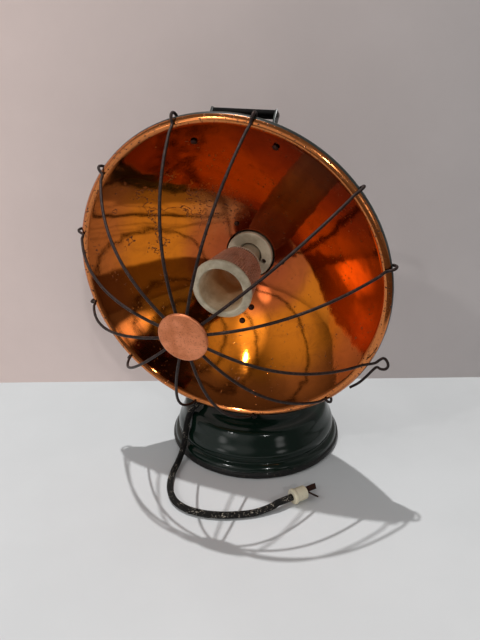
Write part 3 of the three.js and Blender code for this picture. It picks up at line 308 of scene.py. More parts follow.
def polished_copper(colours):
    """Spun copper, machine polished and lacquered long ago. A mirror under a warm, patchy tarnish that
    is deepest near the socket, where the heat was. The lacquer has cracked in a few long lines, and
    over the socket and along the rim it is gone, so the bare copper is pinker and pitted brown."""
    material, add, shader, place = started("polished_copper")
    dish = in_dish(add, place)
    radius = from_axis(add, dish)
    cloud = add("TexNoise", dish, per_mm(55), 4, 0.6, Distortion=0.4)
    share = add("Math.MULTIPLY_ADD", radius, 1 / (RIM_R * MM), -0.06)
    place_on_bowl = add("Math.MULTIPLY_ADD", cloud, 0.12, share)
    # the colour by distance from the socket: burnt and red near it, gold in the middle, and a darker brown
    # towards the rim
    heat = add(
        "ValToRGB", place_on_bowl,
        stops=(
            (0.20, colours.copper_burnt), (0.38, colours.copper_red), (0.50, colours.copper_gold),
            (0.72, colours.copper_gold), (0.86, "#B8622A"), (0.96, "#9C5224"),
        ),
    )
    stain = add(
        "ValToRGB", add("TexNoise", dish, per_mm(23), 6, 0.7, Distortion=1.2),
        stops=((0.42, 0.0), (0.72, 1.0)),
    )
    stained = add("Mix.RGBA", add("Math.MULTIPLY", stain, 0.32), heat, "#7C3F1C")
    # painted dark reflection: above and to the right of the element the copper is darkened, where the bowl
    # mirrors a dark part of the room
    toward_upper_right = add("VectorMath.DOT_PRODUCT", dish, (0.55, 0.83, 0))
    over = add("ValToRGB", add("Math.MULTIPLY", toward_upper_right, 5), stops=((0.08, 0.0), (0.52, 0.36)))
    stained_with_painted_reflection = add("Mix.RGBA", over, stained, "#6B2E12")
    # the worn patch lies over the socket; the ramp outwards covers 200 mm
    patch_way = add("VectorMath.DISTANCE", dish, WORN_PATCH * MM)
    ragged = add("Math.MULTIPLY_ADD", add("TexNoise", dish, per_mm(14), 4, 0.7), 0.05, patch_way)
    patch = add("ValToRGB", add("Math.DIVIDE", ragged, 0.1), stops=((0.30, 0.6), (0.72, 0.0)))
    edge = add(
        "ValToRGB", add("Math.MULTIPLY", radius, 5),
        stops=(((BOWL_MOUTH_R - 1) / 200, 0.0), (BOWL_MOUTH_R / 200, 1.0)),
    )
    bare = add("Math.MAXIMUM", patch, edge)
    # the brown pits lie in clusters, and close together where the copper is bare
    rubbed = add("Mix.RGBA", patch, stained_with_painted_reflection, "#C07848")
    worn = add("Mix.RGBA", edge, rubbed, colours.copper_rim)
    cluster = add("ValToRGB", add("TexNoise", dish, per_mm(34), 2, 0.5), stops=((0.50, 0.0), (0.62, 0.8)))
    pit = spots(add, dish, 3.1, 2, 0.4, (0.655, 0.70))
    pock = spots(add, dish, 2.0, 2, 0.5, (0.61, 0.67))
    pocked = add("Math.MULTIPLY", pock, add("ValToRGB", bare, stops=((0.05, 0.0), (0.3, 1.0))))
    pits = add("Math.MAXIMUM", add("Math.MULTIPLY", pit, cluster), pocked)
    # long cracks of the lacquer: they follow one level of a rough noise, only here and there
    level = add("Math.SUBTRACT", add("TexNoise", dish, per_mm(62), 5, 0.6), 0.5)
    line = add(
        "ValToRGB", add("Math.MULTIPLY", add("Math.ABSOLUTE", level), 50), stops=((0.12, 1.0), (0.30, 0.0))
    )
    apart = add("VectorMath.DISTANCE", dish, CRACKED_PLACE * MM)
    where = add("ValToRGB", add("Math.MULTIPLY", apart, 10), stops=((0.45, 1.0), (0.62, 0.0)))
    cracks = add("Math.MULTIPLY", line, where)
    marks = add("Math.MAXIMUM", pits, add("Math.MULTIPLY", cracks, 0.8))
    base = add("Mix.RGBA", marks, worn, "#2E150C")
    # wiping marks run round the bowl: noise drawn out along the turn
    grain = add("TexNoise", dish, per_mm(2.2), 4, 0.7)
    parts = add("SeparateXYZ", dish).node.outputs
    turn = add("Math.ARCTAN2", parts["Y"], parts["X"])
    unrolled = add("CombineXYZ", add("Math.MULTIPLY", turn, 0.006), radius)
    lathe_marks = add("TexNoise", unrolled, per_mm(0.9), 3, 0.7)
    wipe = add("ValToRGB", lathe_marks, stops=((0.35, 0.0), (0.75, 1.0)))
    rough = add("Math.MULTIPLY_ADD", wipe, 0.04, add("Math.MULTIPLY_ADD", grain, 0.04, 0.025))
    dulled = add("Math.MULTIPLY_ADD", bare, 0.1, rough)
    roughness = add("Math.MULTIPLY_ADD", marks, 0.4, dulled)
    metal = add("Math.SUBTRACT", 1.0, add("Math.MULTIPLY", marks, 0.7))
    link(shader, base=base, roughness=roughness, metallic=metal)
    # the sheet is a little out of true, and the spinning tool left faint rings
    relief = add("TexNoise", dish, per_mm(48), 2, 0.5)
    waves = add("Bump", Height=relief, Distance=0.8 * MM, Strength=0.5)
    rings = add("Bump", Height=lathe_marks, Distance=0.012 * MM, Strength=0.5, Normal=waves)
    relief = add("Math.SUBTRACT", 1.0, marks)
    link(shader, normal=add("Bump", Height=relief, Distance=0.08 * MM, Strength=0.6, Normal=rings))
    return material


def bowl_back_enamel(colours):
    """Baked enamel on the back of the copper bowl. Near black green, a little dull with age, and
    chipped to dark copper in small spots."""
    material, add, shader, place = started("bowl_back_enamel")
    chips = spots(add, place, 5, 4, 0.6, (0.68, 0.71))
    tone = add("Mix.RGBA", add("TexNoise", place, per_mm(40), 4, 0.55), colours.enamel, "#0B1512")
    base = add("Mix.RGBA", chips, tone, "#5A3420")
    roughness = add("Math.MULTIPLY_ADD", add("TexNoise", place, per_mm(12), 4, 0.55), 0.3, 0.18)
    link(shader, base=base, roughness=roughness, metallic=add("Math.MULTIPLY", chips, 0.8))
    relief = add("Math.SUBTRACT", add("TexNoise", place, per_mm(2.5), 2, 0.55), chips)
    link(shader, normal=add("Bump", Height=relief, Distance=0.05 * MM, Strength=0.4))
    return material


def green_enamel(colours):
    """Vitreous enamel on pressed steel: a thick bottle green glass with a wet gloss and a slight orange
    peel. It is worn to black with small bare flecks on the bead that meets the floor."""
    material, add, shader, place = started("green_enamel")
    height = add("SeparateXYZ", place, out="Z")
    ragged = add("Math.MULTIPLY_ADD", add("TexNoise", place, per_mm(9), 4, 0.7), 0.006, height)
    bead = add("ValToRGB", add("Math.DIVIDE", ragged, 0.02), stops=((0.50, 1.0), (0.62, 0.0)))
    flecks = spots(add, place, 2.4, 3, 0.7, (0.60, 0.66))
    tone = add("Mix.RGBA", add("TexNoise", place, per_mm(60), 4, 0.55), colours.enamel, "#08150F")
    worn = add("Mix.RGBA", add("Math.MULTIPLY", flecks, 0.7), "#0C0C0B", "#5B4C40")
    base = add("Mix.RGBA", bead, tone, worn)
    dust = spots(add, place, 1.6, 3, 0.8, (0.70, 0.78))
    dusted = add("Mix.RGBA", add("Math.MULTIPLY", dust, 0.35), base, "#4A5148")
    smear = add("Math.MULTIPLY_ADD", add("TexNoise", place, per_mm(30), 5, 0.7), 0.2, 0.05)
    link(shader, base=dusted, roughness=add("Math.MULTIPLY_ADD", bead, 0.35, smear))
    link(shader, coat_weight=0.1, coat_roughness=0.05, specular_ior_level=0.27)
    relief = add("TexNoise", place, per_mm(7), 2, 0.55)
    peel = add("Bump", Height=relief, Distance=0.12 * MM, Strength=0.35)
    relief = add("Math.MULTIPLY", bead, flecks)
    link(shader, normal=add("Bump", Height=relief, Distance=0.15 * MM, Strength=0.6, Normal=peel))
    return material


def satin_copper(colours):
    """Stamped copper that was never polished again. Pinkish and satin, finely pitted all over."""
    material, add, shader, place = started("satin_copper")
    fine = add("TexNoise", place, per_mm(1.3), 5, 0.75)
    broad = add("TexNoise", place, per_mm(12), 3, 0.55)
    tone = add("ValToRGB", broad, stops=((0.30, "#CC7A50"), (0.70, colours.copper_satin)))
    pits = add("ValToRGB", fine, stops=((0.34, 1.0), (0.46, 0.0)))
    base = add("Mix.RGBA", add("Math.MULTIPLY", pits, 0.7), tone, "#7A3E26")
    link(shader, base=base, roughness=add("Math.MULTIPLY_ADD", fine, 0.3, 0.3), metallic=0.85)
    link(shader, normal=add("Bump", Height=fine, Distance=0.12 * MM, Strength=0.7))
    return material


def oxidised_wire(colours):
    """Drawn steel wire, heated and oxidised to a dark brown scale that has flaked to grey metal in
    short dashes; these pale flecks are also painted highlights."""
    material, add, shader, place = started("oxidised_steel_wire")
    scale = add("TexNoise", place, per_mm(2.6), 4, 0.7)
    tone = add("ValToRGB", scale, stops=((0.32, "#120A08"), (0.52, colours.wire), (0.74, "#4E372E")))
    # pale flecks: partly bare metal where the scale flaked, partly painted highlights
    bare = spots(add, place, 1.5, 3, 0.6, (0.62, 0.70))
    base = add("Mix.RGBA", add("Math.MULTIPLY", bare, 0.4), tone, "#7E6A60")
    roughness = add("Math.MULTIPLY_ADD", scale, -0.3, 0.7)
    link(shader, base=base, roughness=roughness, metallic=add("Math.MULTIPLY_ADD", bare, 0.4, 0.5))
    link(shader, normal=add("Bump", Height=scale, Distance=0.12 * MM, Strength=0.7))
    return material


def aged_porcelain(colours):
    """Unglazed electrical porcelain, fired white and gone cream and grey with heat. Chalky, with brown
    soaked stains and pin holes."""
    material, add, shader, place = started("aged_porcelain")
    tone = add(
        "ValToRGB", add("TexNoise", place, per_mm(22), 4, 0.6),
        stops=((0.32, colours.porcelain_shade), (0.66, colours.porcelain)),
    )
    stain = spots(add, place, 7, 6, 0.75, (0.58, 0.80))
    stained = add("Mix.RGBA", add("Math.MULTIPLY", stain, 0.6), tone, "#8B775E")
    holes = spots(add, place, 1.1, 2, 0.55, (0.70, 0.75))
    holed = add("Mix.RGBA", add("Math.MULTIPLY", holes, 0.7), stained, "#5D5142")
    # painted dark under the coil: partly the wall baked by the heat, partly painted shade in the gaps
    # between the loops
    dish = in_dish(add, place)
    forward = add("SeparateXYZ", dish, out="Z")
    # the wall's middle line, half way between the bore and the outside, which both taper
    middle = add("Math.MULTIPLY_ADD", forward, -CORE_TAPER, from_axis(add, dish))
    # the ramp outwards covers 50 mm; the one along the axis covers 100 mm, with the rim's plane at 0.6
    outer = add(
        "ValToRGB", add("Math.MULTIPLY", middle, 20),
        stops=((CORE_WALL_R / 50 - 0.01, 0.0), (CORE_WALL_R / 50, 1.0)),
    )
    along = add("Math.MULTIPLY_ADD", forward, 10, 0.6)
    coil_back = (CORE_FRONT - CORE_LENGTH + REAR_RING_LENGTH) / 100 + 0.6
    coil_front = (CORE_FRONT - FRONT_RING_LENGTH) / 100 + 0.6
    ends = ((coil_back - 0.005, 0.0), (coil_back, 1.0), (coil_front - 0.005, 1.0), (coil_front, 0.0))
    coil_scorch_and_shade = add("Math.MULTIPLY", add("ValToRGB", along, stops=ends), outer)
    # painted light and shade: the inside of the bore takes a warm orange brown, strongest deeper in, which
    # lightens and tints its shaded depth
    bore = add(
        "ValToRGB", along, stops=((coil_back, 0.0), (coil_back + 0.01, 1.0), (0.66, 0.2), (0.67, 0.0))
    )
    inner = add("Math.MULTIPLY", bore, add("Math.SUBTRACT", 1.0, outer))
    deep = add("Mix.RGBA", add("Math.MULTIPLY", inner, 0.8), holed, "#D8934F")
    base = add("Mix.RGBA", add("Math.MULTIPLY", coil_scorch_and_shade, 0.85), deep, "#33211A")
    link(shader, base=base, roughness=add("Math.MULTIPLY_ADD", stain, 0.2, 0.42))
    link(shader, subsurface_weight=0.06, subsurface_radius=(0.002, 0.0015, 0.001))
    relief = add("Math.SUBTRACT", add("TexNoise", place, per_mm(2.4), 4, 0.7), holes)
    link(shader, normal=add("Bump", Height=relief, Distance=0.08 * MM, Strength=0.6))
    return material


def burnt_resistance_wire(colours):
    """Nickel chrome wire after many hours of heat: a brown oxide with a copper cast, with painted
    highlights as pale spots at random and darker brown between them."""
    material, add, shader, place = started("burnt_resistance_wire")
    tone = add("TexNoise", place, per_mm(3), 4, 0.7)
    # the palest stop is painted highlight, and the whole colour is lightened to stand in for the light that
    # the coil catches
    base = add("ValToRGB", tone, stops=((0.30, "#A85E44"), (0.50, colours.winding), (0.72, "#F0B89A")))
    link(shader, base=base, roughness=add("Math.MULTIPLY_ADD", tone, -0.2, 0.5), metallic=0.35)
    return material


def black_lacquer(colours):
    """Black lacquered wood on the grip: deep black with a soft gloss."""
    material, add, shader, place = started("black_lacquered_wood")
    stretched = add("Mapping", place, Scale=(0.15, 1, 1))
    grain = add("TexNoise", stretched, per_mm(1.6), 4, 0.6)
    base = add("ValToRGB", grain, stops=((0.35, colours.black), (0.85, "#0E0B0A")))
    link(shader, base=base, roughness=add("Math.MULTIPLY_ADD", grain, 0.25, 0.6))
    link(shader, specular_ior_level=0.1)
    link(shader, normal=add("Bump", Height=grain, Distance=0.04 * MM, Strength=0.4))
    return material


def black_japan(colours):
    """Black japanned iron castings: thick tarry varnish, grey where it is scuffed."""
    material, add, shader, place = started("black_japanned_iron")
    scuff = spots(add, place, 6, 5, 0.7, (0.58, 0.74))
    base = add("Mix.RGBA", add("Math.MULTIPLY", scuff, 0.5), colours.black, "#4B4743")
    roughness = add("Math.MULTIPLY_ADD", add("TexNoise", place, per_mm(9), 4, 0.55), 0.35, 0.2)
    link(shader, base=base, roughness=roughness, metallic=add("Math.MULTIPLY", scuff, 0.5))
    relief = add("TexNoise", place, per_mm(4), 4, 0.6)
    link(shader, normal=add("Bump", Height=relief, Distance=0.15 * MM, Strength=0.5))
    return material


def cast_iron(colours):
    """Sand cast iron, bare: dark grey and grainy, with rust in the grain."""
    material, add, shader, place = started("sand_cast_iron")
    sand = add("TexNoise", place, per_mm(1.8), 5, 0.7)
    rust = spots(add, place, 14, 5, 0.7, (0.50, 0.70))
    base = add(
        "Mix.RGBA", add("Math.MULTIPLY", rust, 0.7),
        add("ValToRGB", sand, stops=((0.3, "#2C2B2B"), (0.7, "#4E4B49"))), "#6B3F28",
    )
    link(shader, base=base, roughness=0.75, metallic=add("Math.MULTIPLY_ADD", rust, -0.5, 0.7))
    link(shader, normal=add("Bump", Height=sand, Distance=0.3 * MM, Strength=0.8))
    return material


def dull_steel(colours):
    """Turned steel fixings with a thin grey brown oxide."""
    material, add, shader, place = started("dull_turned_steel")
    film = add("TexNoise", place, per_mm(5), 5, 0.7)
    base = add("ValToRGB", film, stops=((0.30, "#4D4641"), (0.60, colours.steel), (0.80, "#9B958C")))
    link(shader, base=base, roughness=add("Math.MULTIPLY_ADD", film, 0.3, 0.25), metallic=0.9)
    relief = add("TexNoise", place, per_mm(0.9), 3, 0.55)
    link(shader, normal=add("Bump", Height=relief, Distance=0.03 * MM, Strength=0.4))
    return material


def dark_brass(colours):
    """Brass that has gone chocolate brown with age, as plug blades and terminal screws do."""
    material, add, shader, place = started("darkened_brass")
    film = add("TexNoise", place, per_mm(3.5), 5, 0.7)
    base = add("ValToRGB", film, stops=((0.30, "#1E0D0A"), (0.58, colours.brass), (0.80, "#6F4A30")))
    link(shader, base=base, roughness=add("Math.MULTIPLY_ADD", film, 0.3, 0.3), metallic=0.75)
    link(shader, normal=add("Bump", Height=film, Distance=0.04 * MM, Strength=0.4))
    return material


def ivory_plastic(colours):
    """Moulded ivory urea plastic: warm off-white, waxy, with grime in its pores."""
    material, add, shader, place = started("ivory_moulded_plastic")
    grime = spots(add, place, 4, 6, 0.75, (0.52, 0.76))
    tone = add("Mix.RGBA", add("TexNoise", place, per_mm(11), 3, 0.55), colours.plug, "#D8CDAF")
    base = add("Mix.RGBA", add("Math.MULTIPLY", grime, 0.5), tone, "#8E7E62")
    link(shader, base=base, roughness=add("Math.MULTIPLY_ADD", grime, 0.25, 0.3))
    link(shader, subsurface_weight=0.1, subsurface_radius=(0.002, 0.0015, 0.001))
    relief = add("TexNoise", place, per_mm(1.5), 3, 0.55)
    link(shader, normal=add("Bump", Height=relief, Distance=0.04 * MM, Strength=0.4))
    return material


def braided_cloth(colours):
    """Cotton braid over rubber, dyed black. Matt, fuzzy at its edge, with pale flecks where the braid
    has rubbed through. Its pattern follows the lead's own UV map."""
    material, add, shader, place = started("black_cotton_braid")
    along = add("UVMap", uv_map="lead")
    flecks = spots(add, place, 1.5, 2, 0.5, (0.59, 0.65))
    patches = spots(add, place, 13, 2, 0.5, (0.42, 0.55))
    waves = {"wave_type": "BANDS", "bands_direction": "DIAGONAL"}
    threads = add("TexWave", along, Scale=per_mm(24), Distortion=0.6, out="Fac", **waves)
    tone = add("ValToRGB", threads, stops=((0.2, colours.cloth), (0.9, "#13100F")))
    rubbed = add("Math.MULTIPLY", flecks, patches)
    base = add("Mix.RGBA", add("Math.MULTIPLY", rubbed, 0.8), tone, colours.cloth_fleck)
    link(shader, base=base, roughness=0.9, sheen_weight=0.03, sheen_roughness=0.5)
    link(shader, specular_ior_level=0.25)
    relief = add("Math.ADD", threads, add("TexNoise", place, per_mm(0.8), 3, 0.7))
    link(shader, normal=add("Bump", Height=relief, Distance=0.12 * MM, Strength=0.7))
    return material


def black_rubber(colours):
    """Hard moulded rubber of the bushing and its sleeve: black gone slightly grey and matt."""
    material, add, shader, place = started("aged_black_rubber")
    bloom = add("TexNoise", place, per_mm(6), 4, 0.7)
    base = add("ValToRGB", bloom, stops=((0.35, colours.black), (0.80, "#2A2826")))
    link(shader, base=base, roughness=add("Math.MULTIPLY_ADD", bloom, 0.3, 0.45))
    relief = add("TexNoise", place, per_mm(1.5), 3, 0.55)
    link(shader, normal=add("Bump", Height=relief, Distance=0.05 * MM, Strength=0.4))
    return material


FINISHES = {}


def finish_of(make):
    """The material that a finish makes, made once."""
    if make.__name__ not in FINISHES:
        FINISHES[make.__name__] = make(bpy.context.scene.heater_colours)
    return FINISHES[make.__name__]


# ---------------------------------------------------------------- meshes


def tidied(mesh, merge=1e-6, recalculate=True, sharp=38):
    """Merges doubles, drops loose ends, points faces outwards and shades smooth up to an angle."""
    shape = bmesh.new()
    shape.from_mesh(mesh)
    bmesh.ops.remove_doubles(shape, verts=shape.verts, dist=merge)
    bmesh.ops.dissolve_degenerate(shape, edges=shape.edges, dist=merge / 2)
    loose = [e for e in shape.edges if not e.link_faces]
    bmesh.ops.delete(shape, geom=loose, context="EDGES")
    bmesh.ops.delete(shape, geom=[v for v in shape.verts if not v.link_faces], context="VERTS")
    if recalculate:
        bmesh.ops.recalc_face_normals(shape, faces=shape.faces)
    shape.to_mesh(mesh)
    shape.free()
    mesh.shade_smooth()
    mesh.set_sharp_from_angle(angle=math.radians(sharp))
    return mesh


def placed(name, data):
    """A new object of the scene."""
    made = bpy.data.objects.new(name, data)
    bpy.context.scene.collection.objects.link(made)
    return made


def shown(name, mesh, body, finish, nodes=()):
    """Puts a mesh into the scene as a piece that rides on a body, with a finish if it has none."""
    piece = placed(name, mesh)
    if not mesh.materials:
        mesh.materials.append(finish_of(finish))
    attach(piece, body)
    if nodes:
        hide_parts(*nodes)
    return piece


def painted(node, finish):
    """Gives a solid that stays as it is its finish."""
    for material_slot in NODES[node].material_slots:
        material_slot.material = finish_of(finish)


SMOOTH_CORNER = 12  # degrees; a flatter corner of an outline isn't eased


def eased(outline, radius, steps=3):
    """Rounds the corners of an outline of (radius, height) pairs."""
    made = []
    for i, (r, z) in enumerate(outline):
        here = Vector((r, z))
        before = Vector(outline[i - 1]) - here
        after = Vector(outline[(i + 1) % len(outline)]) - here
        on_axis = r < 1e-6 or min(before.length, after.length) < 1e-6
        if on_axis or math.degrees(before.angle(-after)) < SMOOTH_CORNER:
            made.append((r, z))
            continue
        reach = min(radius, before.length * 0.45, after.length * 0.45)
        start = here + before.normalized() * reach
        end = here + after.normalized() * reach
        for k in range(steps + 1):
            t = k / steps
            point = start * (1 - t) ** 2 + here * 2 * t * (1 - t) + end * t * t
            made.append((point.x, point.y))
    return made


def flowing(points, steps=5):
    """A smooth line through points of any size, with the same ends; centripetal, as the solids' are."""
    line = [Vector(p) for p in points]
    line = [line[0] * 2 - line[1], *line, line[-1] * 2 - line[-2]]
    made = []
    for a, b, c, d in zip(line, line[1:], line[2:], line[3:]):
        ab, bc, cd = ((q - p).length ** 0.5 for p, q in ((a, b), (b, c), (c, d)))
        start = ((b - a) / ab - (c - a) / (ab + bc) + (c - b) / bc) * bc
        end = ((c - b) / bc - (d - b) / (bc + cd) + (d - c) / cd) * bc
        square = b * -3 + c * 3 - start * 2 - end
        cube = b * 2 - c * 2 + start + end
        for t in (k / steps for k in range(steps)):
            made.append(b + start * t + square * t**2 + cube * t**3)
    return [*made, line[-2]]


def offset(line, distance):
    """The same line moved to the left of its direction by a distance."""
    made = []
    for i, point in enumerate(line):
        before = Vector(line[max(i - 1, 0)])
        after = Vector(line[min(i + 1, len(line) - 1)])
        along = (after - before).normalized()
        made.append(Vector((point[0] - along.y * distance, point[1] + along.x * distance)))
    return made


def ring_points(centre_r, centre_z, radius, start, end, steps):
    """Points of an arc in an outline, from one angle to another in degrees."""
    made = []
    for i in range(steps + 1):
        angle = math.radians(start + (end - start) * i / steps)
        made.append((centre_r + radius * math.cos(angle), centre_z + radius * math.sin(angle)))
    return made


# ---------------------------------------------------------------- Geometry Nodes


def geometry_tree(name, **sizes):
    """A tree with a geometry, named sizes and a material as inputs: what adds its nodes, its inputs."""
    tree = bpy.data.node_groups.new(name, "GeometryNodeTree")
    tree.interface.new_socket("Geometry", in_out="INPUT", socket_type="NodeSocketGeometry")
    for key, kind in sizes.items():
        title = key.replace("_", " ").title()
        socket = tree.interface.new_socket(title, in_out="INPUT", socket_type=f"NodeSocket{kind}")
        if kind == "Float":
            socket.subtype = "DISTANCE"
    tree.interface.new_socket("Material", in_out="INPUT", socket_type="NodeSocketMaterial")
    tree.interface.new_socket("Geometry", in_out="OUTPUT", socket_type="NodeSocketGeometry")
    return functools.partial(add_node, tree), tree.nodes.new("NodeGroupInput").outputs


def closed_tree(add, given, geometry):
    """Ends a tree with real geometry that has its material, and returns it."""
    real = add("GeometryNodeRealizeInstances", geometry)
    coated = add("GeometryNodeSetMaterial", real, Material=given["Material"])
    add("NodeGroupOutput", Geometry=coated)
    return geometry.id_data


def turned_tree():
    """Turns an outline in the x-z plane round the z axis."""
    add, given = geometry_tree("turned_piece", segments="Int", track_radius="Float")
    outline = add("GeometryNodeMeshToCurve", given["Geometry"])
    parts = add("SeparateXYZ", add("GeometryNodeInputPosition")).node.outputs
    across = add("Math.SUBTRACT", parts["X"], given["Track Radius"])
    flat = add("CombineXYZ", across, add("Math.MULTIPLY", parts["Z"], -1.0))
    laid = add("GeometryNodeSetPosition", outline, Position=flat)
    track = add("GeometryNodeCurvePrimitiveCircle", given["Segments"], Radius=given["Track Radius"])
    upright = add("GeometryNodeSetCurveNormal", track, mode="Z_UP")
    swept = add("GeometryNodeCurveToMesh", upright, laid)
    return closed_tree(add, given, add("GeometryNodeMergeByDistance", swept, Distance=1e-6))


def wire_tree():
    """Draws a round wire along the edges of a path."""
    add, given = geometry_tree("drawn_wire", wire_radius="Float", sides="Int")
    path = add("GeometryNodeMeshToCurve", given["Geometry"])
    section = add("GeometryNodeCurvePrimitiveCircle", given["Sides"], Radius=given["Wire Radius"])
    return closed_tree(add, given, add("GeometryNodeCurveToMesh", path, section, Fill_Caps=True))


LOOP_POINTS = 6  # points of one small loop of the coiled resistance wire
WIRE_SIDES = 4  # of the resistance wire


def winding_tree():
    """A fine coil of wire, itself wound round the core: a coil of coils along the z axis."""
    lengths = dict.fromkeys(
        ("rear_radius", "front_radius", "length", "coil_radius", "wire_radius"), "Float"
    )
    add, given = geometry_tree("coiled_winding", **lengths, turns="Int", loops_per_turn="Int")
    spiral = add(
        "GeometryNodeCurveSpiral",
        Resolution=add("Math.MULTIPLY", given["Loops Per Turn"], LOOP_POINTS),
        Rotations=given["Turns"],
        Start_Radius=given["Rear Radius"],
        End_Radius=given["Front Radius"],
        Height=given["Length"],
    )
    flat = add("VectorMath.MULTIPLY", add("GeometryNodeInputPosition"), (1, 1, 0))
    phase = add("Math.MULTIPLY", add("GeometryNodeInputIndex"), 2 * math.pi / LOOP_POINTS)
    out_by = add("Math.MULTIPLY", add("Math.COSINE", phase), given["Coil Radius"])
    up_by = add("Math.MULTIPLY", add("Math.SINE", phase), given["Coil Radius"])
    outwards = add("VectorMath.SCALE", add("VectorMath.NORMALIZE", flat), Scale=out_by)
    moved = add("VectorMath.ADD", outwards, add("CombineXYZ", Z=up_by))
    coil = add("GeometryNodeSetPosition", spiral, Offset=moved)
    section = add("GeometryNodeCurvePrimitiveCircle", WIRE_SIDES, Radius=given["Wire Radius"])
    return closed_tree(add, given, add("GeometryNodeCurveToMesh", coil, section, Fill_Caps=True))


def stud_tree():
    """Sets one domed head with its shank on each point, along the point's own direction."""
    lengths = dict.fromkeys(("head_radius", "head_height", "shank_radius", "shank_length"), "Float")
    add, given = geometry_tree("domed_studs", **lengths)
    parts = add("SeparateXYZ", add("GeometryNodeInputPosition")).node.outputs
    wide = [add("Math.MULTIPLY", parts[axis], given["Head Radius"]) for axis in ("X", "Y")]
    high = add("Math.MULTIPLY", add("Math.MAXIMUM", parts["Z"], 0.0), given["Head Height"])
    ball = add("GeometryNodeMeshUVSphere", Segments=24, Rings=12, Radius=1.0)
    head = add("GeometryNodeSetPosition", ball, Position=add("CombineXYZ", *wide, high))
    size = {"Radius": given["Shank Radius"], "Depth": given["Shank Length"]}
    shank = add("GeometryNodeMeshCylinder", Vertices=20, **size)
    down = add("CombineXYZ", Z=add("Math.MULTIPLY", given["Shank Length"], -0.5))
    lowered = add("GeometryNodeTransform", shank, Translation=down)
    stud = add("GeometryNodeJoinGeometry", head)
    feed(stud.node.inputs[0], lowered)
    way = add("GeometryNodeInputNamedAttribute", "way", data_type="FLOAT_VECTOR")
    aim = add("FunctionNodeAlignRotationToVector", Vector=way, axis="Z")
    studs_there = add("GeometryNodeInstanceOnPoints", given["Geometry"], Instance=stud, Rotation=aim)
    return closed_tree(add, given, studs_there)


TREES = {}
TRACK_RADIUS = 0.05  # of the circle that an outline is swept round, in metres


def baked(holder):
    """The mesh that an object has after its modifiers; the object goes."""
    graph = bpy.context.evaluated_depsgraph_get()
    mesh = bpy.data.meshes.new_from_object(holder.evaluated_get(graph))
    bpy.data.objects.remove(holder)
    return mesh


def grown(make_tree, points, edges, finish, matrix=None, directions=None, merge=1e-6, sharp=38, **sizes):
    """The mesh that a tree makes from points in millimetres, moved by a matrix in millimetres."""
    if make_tree.__name__ not in TREES:
        TREES[make_tree.__name__] = make_tree()
    tree = TREES[make_tree.__name__]
    seed = bpy.data.meshes.new("seed")
    seed.from_pydata([Vector(p) * MM for p in points], edges, [])
    if directions:
        attribute = seed.attributes.new("way", "FLOAT_VECTOR", "POINT")
        attribute.data.foreach_set("vector", [x for d in directions for x in d])
    holder = placed("seed", seed)
    modifier = holder.modifiers.new("shape", "NODES")
    modifier.node_group = tree
    sockets = {s.name: s.identifier for s in tree.interface.items_tree if s.in_out == "INPUT"}
    for key, value in sizes.items():
        modifier[sockets[key.replace("_", " ").title()]] = value
    modifier[sockets["Material"]] = finish_of(finish)
    mesh = baked(holder)
    if matrix is not None:
        mesh.transform(TO_METRES @ matrix @ TO_METRES.inverted())
    return tidied(mesh, merge, sharp=sharp)


def turned(outline, finish, matrix=None, segments=96, sharp=38):
    """The mesh of a closed outline of (radius, height) pairs turned round the z axis of a frame."""
    points = [(max(r, 0), 0, z) for r, z in outline]
    edges = [(i, (i + 1) % len(points)) for i in range(len(points))]
    sizes = {"segments": segments, "track_radius": TRACK_RADIUS}
    return grown(turned_tree, points, edges, finish, matrix, sharp=sharp, **sizes)


def lathed(name, outline, body, finish, node, matrix, segments, ease):
    """A turned piece with eased corners that replaces a solid."""
    shown(name, turned(eased(outline, ease), finish, matrix, segments), body, finish, [node])


def dressed(name, node, body, finish, edge):
    """A copy of a solid with merged faces, smooth shading and rounded edges that replaces it."""
    mesh = NODES[node].data.copy()
    shape = bmesh.new()
    shape.from_mesh(mesh)
    bmesh.ops.remove_doubles(shape, verts=shape.verts, dist=2e-6)
    bmesh.ops.dissolve_limit(shape, angle_limit=math.radians(1), verts=shape.verts, edges=shape.edges)
    shape.to_mesh(mesh)
    shape.free()
    holder = placed("holder", mesh)
    bevel = holder.modifiers.new("edges", "BEVEL")
    bevel.width = edge * MM
    bevel.segments = 2
    bevel.limit_method = "ANGLE"
    bevel.angle_limit = math.radians(30)
    bevel.use_clamp_overlap = True
    rounded = baked(holder)
    rounded.materials.clear()
    shown(name, tidied(rounded, 1e-7, recalculate=False, sharp=50), body, finish, [node])


# ---------------------------------------------------------------- shapes shared by pieces


def bowl_z(r):
    """The depth of the bowl's inside at a radius."""
    return -BOWL_DEPTH * (1 - (r / BOWL_MOUTH_R) ** 2)


def on_bowl(x, y):
    """A place on the inside of the bowl and the direction that leaves the bowl there."""
    r = math.hypot(x, y)
    slope = 2 * BOWL_DEPTH * r / BOWL_MOUTH_R**2
    return Vector((x, y, bowl_z(r))), Vector((slope * x / r, slope * y / r, -1)).normalized()


def head_seat(place, outward):
    """Where a head sits inside the bowl, lifted as on the solid's flat facets."""
    step = (BOWL_MOUTH_R - BOWL_OPENING_R) / BOWL_STEPS
    across = math.hypot(place.x, place.y) * (1 - math.cos(math.pi / BOWL_SEGMENTS))
    along = BOWL_DEPTH / BOWL_MOUTH_R**2 * (step / 2) ** 2
    return place - outward * (SEAT + across + along)


def screwed(name, places, ways, nodes, head, height, shank, length):
    """Domed brass heads with their shanks, on the body that tilts."""
    sizes = {"head_radius": head, "head_height": height, "shank_radius": shank, "shank_length": length}
    metres = {key: size * MM for key, size in sizes.items()}
    mesh = grown(stud_tree, places, [], dark_brass, DISH, ways, merge=1e-7, **metres)
    shown(name, mesh, "head", dark_brass, nodes)


